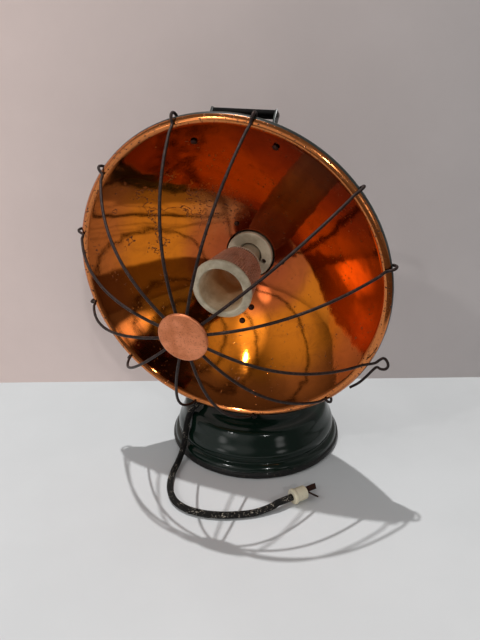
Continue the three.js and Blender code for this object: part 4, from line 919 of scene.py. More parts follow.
def studs(name, fixings, nodes, *sizes):
    """Domed heads inside the bowl, with their shanks through it."""
    places = [head_seat(*fixing) for fixing in fixings]
    screwed(name, places, [-outward for _, outward in fixings], nodes, *sizes)


def guard_z(r):
    """The height of the guard's wires at a radius."""
    return GUARD_DEPTH * (1 - (r / GUARD_SPAN_R) ** GUARD_FULLNESS)


HUB_R = BACK_PLATE_R + 1.5
HUB_Z = guard_z(HUB_R)


def guard_arc(to_r, steps=28):
    """The wire's line in its own plane, from under the medallion to the lip of the rim."""
    arc = []
    for i in range(steps + 1):
        r = HUB_R + (to_r - HUB_R) * math.sin(i / steps * math.pi / 2)
        arc.append((r, guard_z(r)))
    return [(GUARD_START_R, HUB_Z), *arc]


def guard_line(degrees):
    """The points of an ordinary guard wire: out from the medallion and hooked over the rim."""
    middle_r = RIM_R - HOOK_INSET
    middle_z = (RIM_LIP - RIM_SKIRT) / 2 - HOOK_DROP
    hook_r = (RIM_SKIRT + RIM_LIP) / 2 + GUARD_WIRE_R + HOOK_CLEARANCE
    hook = ring_points(middle_r, middle_z, hook_r, HOOK_START, HOOK_START - HOOK_SWEEP, 20)
    lip = (hook[0][0] + HOOK_LEAD[0], hook[0][1] + HOOK_LEAD[1])
    line = [*guard_arc(lip[0] - HOOK_APPROACH), lip, *hook]
    return [around(r, degrees, z) for r, z in line]


def sprung_line(degrees):
    """The wire whose eye has come off the rim: the eye stands outside, its tail runs back behind."""
    outside = RIM_R + GUARD_WIRE_R
    arc = [around(r, degrees, z) for r, z in guard_arc(RIM_R - SPRUNG_START)]
    return [*arc, *(around(outside + beyond, degrees + more, z) for beyond, more, z in SPRUNG_EYE)]


CORD_START = CORD_EXIT + EXIT_WAY * (BUSHING_FACE + SEAT)
CORD_POINTS = [
    (-38.5, -39.8, 65.2), (-52.3, -53.5, 61.8), (-59.7, -63.1, 57.5), (-63.8, -72.0, 50.1),
    (-64.9, -78.6, 40.0), (-65.0, -83.6, 28.9), (-64.9, -89.5, 18.5), (-64.9, -97.9, FLOOR_Z + 6.3),
    (-64.6, -108.6, FLOOR_Z + 1.4), (-62.6, -126.1, FLOOR_Z), (-58.0, -143.3, FLOOR_Z),
    (-50.0, -159.1, FLOOR_Z), (-37.7, -171.7, FLOOR_Z), (-21.5, -178.3, FLOOR_Z), (-3.8, -179.1, FLOOR_Z),
    (13.7, -176.1, FLOOR_Z), (30.6, -170.3, FLOOR_Z), (46.6, -162.5, FLOOR_Z),
    (56.4, -155.9, FLOOR_Z + 1.0), (65.4, -148.3, FLOOR_Z + 2.8),
]
CORD_ROUTE = [
    CORD_START, CORD_START + EXIT_WAY * 2 * CORD_R, *[Vector(point) for point in CORD_POINTS],
    PLUG_START - PLUG_WAY * (SEAT + 5 * CORD_R), PLUG_START - PLUG_WAY * (SEAT + 2 * CORD_R),
    PLUG_START - PLUG_WAY * SEAT,
]


def lengths_along(line):
    """How far along a line each of its points lies."""
    steps = ((b - a).length for a, b in zip(line, line[1:]))
    return [0.0, *itertools.accumulate(steps)]


def tube(path, sides, radius_at, uv_name=None):
    """A closed tube along a path in millimetres; radius_at takes the share round it and the length."""
    verts, rings, lengths = [], [], lengths_along(path)
    side = path[1] - path[0]
    side = side.cross(Vector((0, 0, 1))).normalized()
    for i, point in enumerate(path):
        along = (path[min(i + 1, len(path) - 1)] - path[max(i - 1, 0)]).normalized()
        side = (side - along * side.dot(along)).normalized()
        up = along.cross(side)
        row = []
        for k in range(sides):
            angle = 2 * math.pi * k / sides
            out = side * math.cos(angle) + up * math.sin(angle)
            row.append(len(verts))
            verts.append((point + out * radius_at(k / sides, lengths[i])) * MM)
        rings.append(row)
    faces, uvs = [], []
    for i, (row, after) in enumerate(zip(rings, rings[1:])):
        for k in range(sides):
            faces.append((row[k], row[(k + 1) % sides], after[(k + 1) % sides], after[k]))
            u, v = k / sides, lengths[i] * MM
            u2, v2 = (k + 1) / sides, lengths[i + 1] * MM
            uvs.extend([(u, v), (u2, v), (u2, v2), (u, v2)])
    for end, row in ((0, rings[0][::-1]), (-1, rings[-1])):
        faces.append(tuple(row))
        uvs.extend([(0.5, lengths[end] * MM)] * sides)
    mesh = bpy.data.meshes.new("tube")
    mesh.from_pydata(verts, [], faces)
    if uv_name:
        layer = mesh.uv_layers.new(name=uv_name)
        layer.data.foreach_set("uv", [x for uv in uvs for x in uv])
    return mesh


def spaced(line, step):
    """Points along a line at an even step, with both of its ends."""
    lengths = lengths_along(line)
    count = max(round(lengths[-1] / step), 1)
    made, i = [], 0
    for k in range(count + 1):
        target = lengths[-1] * k / count
        while i < len(line) - 2 and lengths[i + 1] < target:
            i += 1
        share = (target - lengths[i]) / (lengths[i + 1] - lengths[i])
        made.append(line[i].lerp(line[i + 1], min(share, 1)))
    return made


# ---------------------------------------------------------------- sizes and colours a user may change


class HeaterSizes(bpy.types.PropertyGroup):
    """Sizes of the dressed pieces."""

    guard_wire: bpy.props.FloatProperty(
        name="Guard wire radius", description="Radius of the wires of the guard", default=GUARD_WIRE_R * MM,
        subtype="DISTANCE", unit="LENGTH",
    )
    winding_turns: bpy.props.IntProperty(
        name="Winding turns", description="Turns of the coiled resistance wire round the porcelain core",
        default=22, min=6,
    )
    coil_radius: bpy.props.FloatProperty(
        name="Coil radius", description="Radius of the small loops of the resistance wire",
        default=1.0 * MM, subtype="DISTANCE", unit="LENGTH",
    )
    coil_wire: bpy.props.FloatProperty(
        name="Resistance wire radius", description="Radius of the resistance wire itself",
        default=0.36 * MM, subtype="DISTANCE", unit="LENGTH",
    )
    braid_carriers: bpy.props.IntProperty(
        name="Braid threads", description="Threads of the lead's braid that run each way", default=8, min=4
    )


def colour_property(name, description, colour):
    """A colour that a user may change, as an sRGB hex value."""
    return bpy.props.StringProperty(name=name, description=description, default=colour)


class HeaterColours(bpy.types.PropertyGroup):
    """Main colours, as sRGB hex values."""

    copper_gold: colour_property("Copper gold", "Lacquered copper between rim and socket", "#D8781E")
    copper_red: colour_property("Copper red", "Heated copper nearer the socket and the rim", "#B45A2A")
    copper_burnt: colour_property("Copper burnt", "Copper round the socket", "#A24C2A")
    copper_rim: colour_property("Copper rim", "Bare copper of the rolled rim", "#CC7C46")
    copper_satin: colour_property("Copper satin", "Stamped medallion", "#E8946A")
    enamel: colour_property("Enamel", "Base and straps", "#071C14")
    wire: colour_property("Guard wire", "Oxidised steel wire", "#2A1A16")
    porcelain: colour_property("Porcelain", "Core and socket", "#C6B89E")
    porcelain_shade: colour_property("Porcelain shade", "Greyer porcelain", "#988A72")
    winding: colour_property("Winding", "Resistance wire", "#D69A7C")
    black: colour_property("Black", "Grip, castings and rubber", "#080707")
    steel: colour_property("Steel", "Fixings", "#77736C")
    brass: colour_property("Brass", "Plug blades and terminal screws", "#3A1E14")
    plug: colour_property("Plug", "Ivory plug body", "#E8E0C8")
    cloth: colour_property("Cloth", "Lead's braid", "#0C0B0A")
    cloth_fleck: colour_property("Cloth fleck", "Worn flecks of the braid", "#B9AFA0")


class BuildOperator(bpy.types.Operator):
    """Base of the operators that build the heater's pieces."""

    bl_options = {"REGISTER", "UNDO"}


# ---------------------------------------------------------------- stage and camera

CAMERA_PLACE = Vector((173.0, -559.3, 378.7))
CAMERA_FORWARD = Vector((-0.30604, 0.88402, -0.35333))
CAMERA_RIGHT = Vector((0.94624, 0.32328, -0.01076))
CAMERA_LENS = 27.893
FLOOR_REACH = 3000
FLOOR_DROP = 0.2  # how far the floor lies under the base
FLOOR_AHEAD = (0.766, -0.643, 0)  # the way in which the pale floor ends
FLOOR_FADE = (0.40, 0.44)  # where it ends, in metres
WALL_DISTANCE = 139.8  # from the middle of the base to the wall behind it
WALL_TURN = 19.1  # degrees that the wall is turned about the upright
WALL_SIZE = 1800  # its height, and its reach to each side
LAMPS = (  # name, place, size, power, whether the copper mirrors it
    ("ceiling_lamp", (-461, -139, 3728), 60, 76, True),
    ("front_lamp_left", (-733, -1796, 1493), 90, 6, True),
    ("front_lamp_right", (1104, -1725, 1297), 90, 6, True),
    ("soft_window", (-1500, -1300, 1500), 1100, 6, False),
)
LAMP_AIM = Vector((0, -60, 120))
LAMP_COLOUR = (1, 0.99, 0.975)
SOFT_LIGHTS = (  # azimuth and height of the middle, inner and outer angle, strength
    (-22, 23, 4, 15, 1.3),
    (-4, 22, 8, 24, 0.6),
    (-45, 2, 12, 34, 0.6),
    (-29, 2, 2, 8, 2.4),
    (52, 9, 2, 8, 2.4),
)
ROOM_FRONT, ROOM_BACK = 0.18, 0.55  # strength of the mirrored room before and behind the heater
AMBIENT = 0.30  # strength of the light from all round
BACKDROP = 0.58  # what the camera sees on top of it


def stage_finish(name, colour, shade, size, roughness):
    """Matt paint on a floor or wall, with a faint cloudiness; the last result is its colour."""
    material, add, shader, place = started(name)
    cloud = add("TexNoise", place, per_mm(size), 5, 0.6)
    paint = add("ValToRGB", cloud, stops=((0.3, shade), (0.7, colour)))
    link(shader, base=paint, roughness=roughness)
    return material, add, shader, paint


def stage_mesh(name, corners, material):
    """A flat piece of the stage between four corners in millimetres."""
    mesh = bpy.data.meshes.new(name)
    mesh.from_pydata([Vector(c) * MM for c in corners], [], [(0, 1, 2, 3)])
    mesh.materials.append(material)
    made = placed(name, mesh)
    return made


def glow(add, way, azimuth, height, inner, outer):
    """A soft round light of the room: 1 within the inner angle of its middle, 0 past the outer one."""
    lift = math.radians(height)
    middle = around(math.cos(lift), azimuth - 90, math.sin(lift))
    near = add("VectorMath.DOT_PRODUCT", way, middle)
    limits = [math.cos(math.radians(angle)) for angle in (outer, inner)]
    return add("MapRange", near, *limits, interpolation_type="SMOOTHSTEP")


class HEATER_OT_stage(BuildOperator):
    """The camera at the photograph's angle, the pale floor and wall, and soft studio light."""

    bl_idname = "heater.stage"
    bl_label = "Stage and camera"

    def execute(self, context):
        scene = context.scene
        camera = bpy.data.cameras.new("camera")
        camera.lens = CAMERA_LENS
        camera.sensor_width = 36
        camera.clip_start = 0.01
        eye = placed("camera", camera)
        eye.location = CAMERA_PLACE * MM
        up = CAMERA_RIGHT.cross(CAMERA_FORWARD)
        eye.rotation_euler = Matrix((CAMERA_RIGHT, up, -CAMERA_FORWARD)).transposed().to_euler()
        scene.camera = eye

        floor, add, shader, paint = stage_finish("pale_floor_paint", "#D4D6D8", "#D0D2D4", 160, 0.65)
        # the pale floor ends half a metre in front, which only the mirror of the bowl sees
        ahead = add("VectorMath.DOT_PRODUCT", add("TexCoord", out="Object"), FLOOR_AHEAD)
        far = add("ValToRGB", ahead, stops=((FLOOR_FADE[0], 0.0), (FLOOR_FADE[1], 1.0)))
        mirrored = add("Math.MULTIPLY", far, add("LightPath", out="Is Glossy Ray"))
        link(shader, base=add("Mix.RGBA", mirrored, paint, "#54483E"))
        turns = ((-1, -1), (1, -1), (1, 1), (-1, 1))
        stage_mesh("floor", [(x * FLOOR_REACH, y * FLOOR_REACH, -FLOOR_DROP) for x, y in turns], floor)

        wall, add, shader, paint = stage_finish("pale_wall_paint", "#FFFFFF", "#F7F7F7", 260, 0.8)
        # painted light and shade on the wall: warmer on the left, and a darker grey on the right that is
        # painted shade
        right = add("SeparateXYZ", add("TexCoord", out="Object"), out="X")
        share = add("Math.MULTIPLY_ADD", right, 0.7, 0.5)
        tone = add("ValToRGB", share, stops=((0.1, "#F3DED8"), (0.85, "#BFBABA")))
        link(shader, base=add("Mix.RGBA", 1.0, paint, tone, blend_type="MULTIPLY"))
        # seen from behind, the wall lets the camera through, so it never hides the heater
        behind = add("NewGeometry", out="Backfacing")
        either = add("MixShader", behind, shader.outputs[0], add("BsdfTransparent"))
        feed(shader.id_data.nodes["Material Output"].inputs["Surface"], either)
        reach = around(WALL_SIZE, WALL_TURN)
        foot = around(WALL_DISTANCE, WALL_TURN + 90)
        high = Vector((0, 0, WALL_SIZE))
        panel = stage_mesh(
            "wall", [foot - reach, foot + reach, foot + reach + high, foot - reach + high], wall
        )
        panel.visible_diffuse = False
        panel.visible_shadow = False

        for name, place, size, power, seen in LAMPS:
            lamp = bpy.data.lights.new(name, "AREA")
            lamp.shape = "DISK"
            lamp.size = size * MM
            lamp.energy = power
            lamp.color = LAMP_COLOUR
            holder = placed(name, lamp)
            holder.location = Vector(place) * MM
            holder.rotation_euler = (LAMP_AIM - Vector(place)).to_track_quat("-Z", "Y").to_euler()
            holder.visible_glossy = seen

        world = bpy.data.worlds.new("studio")
        world.use_nodes = True
        scene.world = world
        world.node_tree.nodes.clear()
        add = functools.partial(add_node, world.node_tree)
        way = add("TexCoord", out="Generated")
        # the copper mirrors a dim room with soft lights in it, and a pale wall behind the heater
        level = add("MapRange", add("SeparateXYZ", way, out="Y"), -0.2, 0.3, ROOM_FRONT, ROOM_BACK)
        for *shape, strength in SOFT_LIGHTS:
            level = add("Math.MULTIPLY_ADD", glow(add, way, *shape), strength, level)
        rays = add("LightPath").node.outputs
        plain = add("Math.MULTIPLY_ADD", rays["Is Camera Ray"], BACKDROP, AMBIENT)
        rest = add("Math.MULTIPLY", plain, add("Math.SUBTRACT", 1.0, rays["Is Glossy Ray"]))
        strength = add("Math.MULTIPLY_ADD", level, rays["Is Glossy Ray"], rest)
        add("OutputWorld", Surface=add("Background", Color="#F4F2F0", Strength=strength))
        scene.view_settings.view_transform = "Standard"
        return {"FINISHED"}


# ---------------------------------------------------------------- lead and plug

BRAID_DEPTH = 0.22
BRAID_PITCH = 5.2
SLEEVE_R = 6.3
SLEEVE_TAPER = 2.0
SLEEVE_GROOVE = 0.45
SLEEVE_RIBS = 6


class HEATER_OT_lead(BuildOperator):
    """The cloth covered lead, with its tapered sleeve and the bushing in the neck."""

    bl_idname = "heater.lead"
    bl_label = "Lead"

    def execute(self, context):
        carriers = context.scene.heater_sizes.braid_carriers
        line = flowing(CORD_ROUTE, 24)

        def braid(share, length):
            one = math.cos(2 * math.pi * (carriers * share / 2 + length / BRAID_PITCH))
            other = math.cos(2 * math.pi * (carriers * share / 2 - length / BRAID_PITCH))
            return CORD_R - BRAID_DEPTH * (0.5 - 0.5 * one * other)

        mesh = tube(spaced(line, 0.6), 32, braid, "lead")
        mesh.shade_smooth()
        lead = shown("lead", mesh, "stand", braided_cloth, ["cord"])

        def sleeve(share, length):
            taper = SLEEVE_R - SLEEVE_TAPER * length / RELIEF_LENGTH
            groove = 0.5 - 0.5 * math.cos(2 * math.pi * SLEEVE_RIBS * length / RELIEF_LENGTH)
            return taper - SLEEVE_GROOVE * groove

        start = [p for p in spaced(line, 0.5) if (p - CORD_START).length < RELIEF_LENGTH]
        sleeve_mesh = tube(start, 32, sleeve)
        sleeve_mesh.shade_smooth()
        relief = shown("lead_sleeve", sleeve_mesh, "stand", black_rubber)

        neck = aimed(CORD_EXIT, EXIT_WAY)
        outline = [
            (0, NECK_TOP_R - 5), (BUSHING_R, NECK_TOP_R - 5), (BUSHING_R, BUSHING_FACE - 3.5),
            (BUSHING_FLANGE_R, BUSHING_FACE - 2.6), (BUSHING_FLANGE_R, BUSHING_FACE - 0.8),
            (BUSHING_FLANGE_R - 1, BUSHING_FACE), (0, BUSHING_FACE),
        ]
        lathed("neck_bushing", outline, "stand", black_rubber, "cord_bushing", neck, 48, 0.4)
        lengths_along(line)[-1] * MM
        return {"FINISHED"}


class HEATER_OT_plug(BuildOperator):
    """The ivory plug with its two darkened blades."""

    bl_idname = "heater.plug"
    bl_label = "Plug"

    def execute(self, context):
        outline = [
            (0, 0), (PLUG_FLANGE_R - PLUG_CHAMFER, 0), (PLUG_FLANGE_R, PLUG_CHAMFER),
            (PLUG_FLANGE_R, PLUG_FLANGE_LENGTH - PLUG_CHAMFER), (PLUG_R, PLUG_FLANGE_LENGTH),
            (PLUG_R, PLUG_LENGTH - PLUG_CHAMFER), (PLUG_R - PLUG_CHAMFER, PLUG_LENGTH), (0, PLUG_LENGTH),
        ]
        lathed("plug_shell", outline, "stand", ivory_plastic, "plug_body", PLUG, 64, 0.6)
        for form, node in (("straight", "plug_blade_1"), ("bent", "plug_blade_2")):
            dressed(f"plug_blade_{form}", node, "stand", dark_brass, 0.35)
        return {"FINISHED"}


# ---------------------------------------------------------------- bowl

BOWL_RINGS = 60
HEM_R = 1.4  # of the rim's rolled edge
RIM_LINE = (  # share of the rim's width, and height, from the mouth outwards
    (0.2, RIM_LIP),
    (0.45, 0.8 * RIM_LIP),
    (0.73, -0.06 * RIM_SKIRT),
    (0.93, -0.34 * RIM_SKIRT),
    (1, -0.68 * RIM_SKIRT),
)
# a face has the enamel of the back where it faces back, and on the rim where it faces outwards
BACK_FACING = 0.02
SKIRT_FACING = 0.62
ENAMEL_FROM = 158.5  # from the middle of the mouth


class HEATER_OT_bowl(BuildOperator):
    """The spun copper bowl with its rolled rim, mirror inside and enamel behind."""

    bl_idname = "heater.bowl"
    bl_label = "Bowl"

    def execute(self, context):
        width = BOWL_MOUTH_R - BOWL_OPENING_R
        radii = [BOWL_OPENING_R + width * i / BOWL_RINGS for i in range(BOWL_RINGS + 1)]
        inside = [Vector((r, bowl_z(r))) for r in radii]
        lip = [Vector((BOWL_MOUTH_R + out * RIM_WIDTH, z)) for out, z in RIM_LINE]
        rim = flowing([inside[-1], *lip, Vector((RIM_R, HEM_R - RIM_SKIRT))], 5)
        hem = [Vector(p) for p in ring_points(RIM_R - HEM_R, HEM_R - RIM_SKIRT, HEM_R, -15, -250, 10)]
        front = [*inside, *rim[1:]]
        back = offset(front, -BOWL_SHEET)[::-1]
        mesh = turned([*front, *hem, *back[1:]], polished_copper, DISH, 160, 50)
        mesh.materials.append(finish_of(bowl_back_enamel))
        forward = DISH.to_3x3() @ Vector((0, 0, 1))
        for face in mesh.polygons:
            facing = face.normal.dot(forward)
            away = (face.center - RIM_CENTRE * MM).length > ENAMEL_FROM * MM
            if facing < BACK_FACING or facing < SKIRT_FACING and away:
                face.material_index = 1
        shown("copper_bowl", mesh, "head", polished_copper, ["reflector_bowl"])
        return {"FINISHED"}


# ---------------------------------------------------------------- element

WINDING_GAP = 1.4  # from each end ring to the first turn
WINDING_GAIN = 0.2  # what the core's radius changes over that gap
LOOPS_PER_TURN = 70
WELL_DEPTH = 8  # of the hole that a screw's head sits in


class HEATER_OT_element(BuildOperator):
    """The porcelain core with its coiled winding, and the socket that it screws into."""

    bl_idname = "heater.element"
    bl_label = "Element and socket"

    def execute(self, context):
        wanted = context.scene.heater_sizes
        core_back = CORE_FRONT - CORE_LENGTH
        ring_back = CORE_FRONT - FRONT_RING_LENGTH
        ring_front = core_back + REAR_RING_LENGTH
        spigot_end = SOCKET_FACE - SPIGOT_LENGTH
        floor = core_back + CORE_FLOOR
        core = [
            (CORE_BORE_R + 1, CORE_FRONT), (CORE_BORE_R + 2, CORE_FRONT),
            (FRONT_RING_R - 1, CORE_FRONT - FRONT_RING_SLOPE * 0.7),
            (FRONT_RING_R, CORE_FRONT - FRONT_RING_SLOPE), (FRONT_RING_R, ring_back),
            (CORE_FRONT_R, ring_back), (CORE_REAR_R, ring_front), (REAR_RING_R, ring_front),
            (REAR_RING_R, core_back + 1), (REAR_RING_R - 1, core_back), (SPIGOT_R, core_back),
            (SPIGOT_R, spigot_end), (0, spigot_end), (0, floor), (CORE_FLOOR_R - 3, floor),
            (CORE_FLOOR_R, floor + 3), (CORE_BORE_R, CORE_FRONT - 1),
        ]
        lathed("porcelain_core", core, "head", aged_porcelain, "element_core", DISH, 96, 0.9)

        lift = SEAT + wanted.coil_radius / MM + wanted.coil_wire / MM
        start = DISH @ Matrix.Translation((0, 0, ring_front + WINDING_GAP))
        winding = {
            "rear_radius": (CORE_REAR_R + lift + WINDING_GAIN) * MM,
            "front_radius": (CORE_FRONT_R + lift - WINDING_GAIN) * MM,
            "length": (ring_back - ring_front - 2 * WINDING_GAP) * MM,
            "turns": wanted.winding_turns,
            "coil_radius": wanted.coil_radius,
            "wire_radius": wanted.coil_wire,
            "loops_per_turn": LOOPS_PER_TURN,
        }
        mesh = grown(winding_tree, [(0, 0, 0)], [], burnt_resistance_wire, start, merge=1e-7, **winding)
        shown("coiled_winding", mesh, "head", burnt_resistance_wire, ["element_winding"])

        recess = SOCKET_FACE - SOCKET_RECESS_DEPTH
        back = SOCKET_FACE - SOCKET_LENGTH
        bore = SPIGOT_R + 2 * SEAT
        socket = [
            (SOCKET_RECESS_R, SOCKET_FACE), (SOCKET_FLANGE_R - 1, SOCKET_FACE),
            (SOCKET_FLANGE_R, SOCKET_FACE - 1), (SOCKET_FLANGE_R, SOCKET_FACE - SOCKET_FLANGE_THICKNESS),
            (SOCKET_BODY_R, SOCKET_FACE - SOCKET_FLANGE_THICKNESS), (SOCKET_BODY_R, back), (0, back),
            (0, spigot_end - SEAT), (bore, spigot_end - SEAT), (bore, recess), (SOCKET_RECESS_R, recess),
        ]
        mesh = turned(eased(socket, 0.8), aged_porcelain, DISH, 96)
        wells = bmesh.new()
        places = []
        radius = SOCKET_SCREW[0] + SEAT
        size = {"radius1": radius, "radius2": radius, "depth": WELL_DEPTH, "segments": 32, "cap_ends": True}
        for turn in (SOCKET_SCREW_TURN, SOCKET_SCREW_TURN + 180):
            places.append(around(SOCKET_SCREW_CIRCLE, turn, recess + SEAT))
            well = Matrix.Translation(around(SOCKET_SCREW_CIRCLE, turn, recess + WELL_DEPTH / 2))
            bmesh.ops.create_cone(wells, matrix=TO_METRES @ DISH @ well, **size)
        shown("porcelain_socket", self.drill(mesh, wells), "head", aged_porcelain, ["socket_porcelain"])
        length = SOCKET_LENGTH - SOCKET_RECESS_DEPTH + SOCKET_SCREW_POINT
        names = ["socket_screw_1", "socket_screw_2"]
        screwed("socket_screws", places, [(0, 0, 1)] * len(places), names, *SOCKET_SCREW, length)
        return {"FINISHED"}

    def drill(self, mesh, tools):
        """The mesh with the tools cut away."""
        cutter = placed("cutter", bpy.data.meshes.new("cutter"))
        tools.to_mesh(cutter.data)
        tools.free()
        holder = placed("holder", mesh)
        cut = holder.modifiers.new("holes", "BOOLEAN")
        cut.object = cutter
        cut.solver = "EXACT"
        drilled = baked(holder)
        bpy.data.objects.remove(cutter)
        return tidied(drilled, 1e-7, recalculate=False)


class HEATER_OT_housing(BuildOperator):
    """The terminal housing behind the bowl, with its cover and rivets."""

    bl_idname = "heater.housing"
    bl_label = "Terminal housing"

    def execute(self, context):
        floor = SOCKET_FACE - SOCKET_LENGTH - SEAT
        back = floor - HOUSING_SHEET
        cover_r = HOUSING_R + SEAT
        cover_front = back + COVER_LENGTH / 2
        cover_back = cover_front - COVER_LENGTH
        inner_r = HOUSING_R - HOUSING_SHEET
        reach = [inner_r + (HOUSING_FLANGE_R - inner_r) * i / 8 for i in range(9)]
        flange = offset([Vector((r, bowl_z(r))) for r in reach], -(BOWL_SHEET + SEAT))
        under = offset(flange, -HOUSING_SHEET)
        outline = [
            *flange, *reversed(under[2:]), (HOUSING_R, under[0].y - HOUSING_SHEET), (HOUSING_R, back),
            (HOUSING_LEAD_R, back), (HOUSING_LEAD_R, floor), (inner_r, floor),
        ]
        lathed("housing_shell", outline, "head", bowl_back_enamel, "terminal_housing", DISH, 96, 0.6)
        cover = [
            (cover_r, cover_front), (cover_r + HOUSING_SHEET, cover_front),
            (cover_r + HOUSING_SHEET, cover_back + COVER_DOME),
            (cover_r - COVER_CROWN / 3, cover_back + COVER_DOME / 5), (cover_r - COVER_CROWN, cover_back),
            (0, cover_back), (0, cover_back + HOUSING_SHEET),
            (cover_r - COVER_CROWN - HOUSING_SHEET / 3, cover_back + HOUSING_SHEET),
            (cover_r - COVER_CROWN / 3 - 1, cover_back + COVER_DOME / 5 + HOUSING_SHEET),
            (cover_r, cover_back + COVER_DOME + HOUSING_SHEET / 2),
        ]
        lathed("housing_cap", cover, "head", bowl_back_enamel, "housing_cover", DISH, 96, 2.2)
        turns = [HOUSING_RIVET_TURN + 360 / HOUSING_RIVETS * i for i in range(HOUSING_RIVETS)]
        fixings = [on_bowl(*around(HOUSING_RIVET_CIRCLE, turn).xy) for turn in turns]
        names = [f"housing_rivet_{i + 1}" for i in range(HOUSING_RIVETS)]
        length = BOWL_SHEET + HOUSING_SHEET + 3 * SEAT
        studs("housing_rivets", fixings, names, *HOUSING_RIVET, length)
        return {"FINISHED"}


# ---------------------------------------------------------------- guard


class HEATER_OT_guard(BuildOperator):
    """The twelve guard wires hooked over the rim, and the medallion that holds them."""

    bl_idname = "heater.guard"
    bl_label = "Guard"

    def execute(self, context):
        wire = {"wire_radius": context.scene.heater_sizes.guard_wire, "sides": 10}
        for i, degrees in enumerate(GUARD_TURNS):
            rough = sprung_line(degrees) if i == SPRUNG_WIRE else guard_line(degrees)
            points = flowing(rough, 3)
            edges = [(k, k + 1) for k in range(len(points) - 1)]
            mesh = grown(wire_tree, points, edges, oxidised_wire, DISH, merge=1e-7, **wire)
            shown(f"hooked_wire_{i + 1:02d}", mesh, "head", oxidised_wire, [f"guard_wire_{i + 1:02d}"])

        cap_back = HUB_Z + GUARD_WIRE_R + SEAT
        plate_front = HUB_Z - GUARD_WIRE_R - SEAT
        plate_back = plate_front - BACK_PLATE_THICKNESS
        stud_end = plate_back - MEDALLION_STUD_REACH
        top = cap_back + MEDALLION_THICKNESS
        angles = [math.pi / 20 * k for k in range(2, 10)]
        dome = [(MEDALLION_R * math.cos(a), top + MEDALLION_DOME * math.sin(a)) for a in angles]
        cap = [
            (0, stud_end), (MEDALLION_STUD_R, stud_end), (MEDALLION_STUD_R, cap_back),
            (MEDALLION_R - 1, cap_back), (MEDALLION_R, cap_back - MEDALLION_EDGE),
            (MEDALLION_R, cap_back + MEDALLION_THICKNESS * 0.7), *dome, (0, top + MEDALLION_DOME),
        ]
        lathed("medallion", cap, "head", satin_copper, "medallion_cap", DISH, 96, 0.5)
        plate = [
            (MEDALLION_STUD_R + SEAT, plate_front), (BACK_PLATE_R, plate_front), (BACK_PLATE_R, plate_back),
            (MEDALLION_STUD_R + SEAT, plate_back),
        ]
        lathed("medallion_plate", plate, "head", oxidised_wire, "medallion_back_plate", DISH, 64, 0.4)
        dressed("medallion_hex_nut", "medallion_nut", "head", oxidised_wire, 0.25)
        return {"FINISHED"}


# ---------------------------------------------------------------- handle and hinge


class HEATER_OT_handle(BuildOperator):
    """The black grip between its two enamelled straps, with its pins and screws."""

    bl_idname = "heater.handle"
    bl_label = "Handle"

    def execute(self, context):
        dressed("grip_bar", "handle_grip", "head", black_lacquer, 0.7)
        for side in ("left", "right"):
            dressed(f"strap_{side}", f"handle_strap_{side}", "head", bowl_back_enamel, 0.35)
            dressed(f"grip_pin_{side}", f"handle_pin_{side}", "head", dull_steel, 0.2)
        feet = [on_bowl(x, y) for x, y in HANDLE_FEET]
        names = ["handle_screw_left", "handle_screw_right"]
        studs("handle_screws", feet, names, *HANDLE_SCREW, HANDLE_SCREW_LENGTH)
        return {"FINISHED"}


class HEATER_OT_hinge(BuildOperator):
    """The saddle on the bowl, the fork on the post, and the bolt, washers and wing nut between them."""

    bl_idname = "heater.hinge"
    bl_label = "Hinge"

    def execute(self, context):
        dressed("saddle_casting", "hinge_saddle", "head", black_japan, 0.6)
        places = [on_bowl(x, y) for x, y in SADDLE_SCREWS]
        names = ["saddle_screw_1", "saddle_screw_2"]
        studs("saddle_screws", places, names, *SADDLE_SCREW, SADDLE_SCREW_LENGTH)
        dressed("fork_casting", "hinge_fork", "stand", black_japan, 0.6)
        dressed("hinge_wing_nut", "wing_nut", "stand", dull_steel, 0.5)

        washer_inner = TONGUE_THICKNESS / 2 + SEAT
        washer_outer = washer_inner + FRICTION_WASHER
        bolt_head = washer_outer + SEAT + CHEEK_THICKNESS + SEAT
        bolt_end = bolt_head + BOLT_REACH
        across = Matrix.Translation(PIVOT) @ Matrix.Rotation(math.pi / 2, 4, "Y")
        for side, sign in (("left", -1), ("right", 1)):
            washer = [
                (BOLT_R + SEAT, sign * washer_inner), (TONGUE_R - 1, sign * washer_inner),
                (TONGUE_R - 1, sign * washer_outer), (BOLT_R + SEAT, sign * washer_outer),
            ]
            lathed(
                f"washer_{side}", washer, "stand", dull_steel, f"friction_washer_{side}", across, 48, 0.2
            )
        bolt = [
            (0, -bolt_head - BOLT_HEAD_HEIGHT),
            (BOLT_HEAD_R - BOLT_HEAD_CHAMFER, -bolt_head - BOLT_HEAD_HEIGHT),
            (BOLT_HEAD_R, -bolt_head - BOLT_HEAD_HEIGHT + BOLT_HEAD_CHAMFER), (BOLT_HEAD_R, -bolt_head),
            (BOLT_R, -bolt_head), (BOLT_R, bolt_end), (0, bolt_end),
        ]
        lathed("pivot_bolt", bolt, "stand", dull_steel, "hinge_bolt", across, 48, 0.8)
        return {"FINISHED"}


# ---------------------------------------------------------------- base and post

# inwards from the base's edge, and height
BASE_STEPS = [
    (0.5, 1.6), (0, 4), (0.6, 6.6), (2.3, 8.2), (3.2, 11.4), (5.4, 14.2), (8.3, 16.2), (8.2, 19), (8, 23),
    (9.8, 29), (12.8, 35), (16.8, 45), (19.6, 49.4), (23.7, 51.2), (28, 51.4), (32, 53), (36, BASE_TOP - 2),
    (42, BASE_TOP),
]
# outwards from the neck's top, and height
NECK_LINE = [
    (14, BASE_TOP + 1), (7, BASE_TOP + 4), (3.4, BASE_TOP + 12), (1.2, NECK_TOP - 3), (-1, NECK_TOP)
]


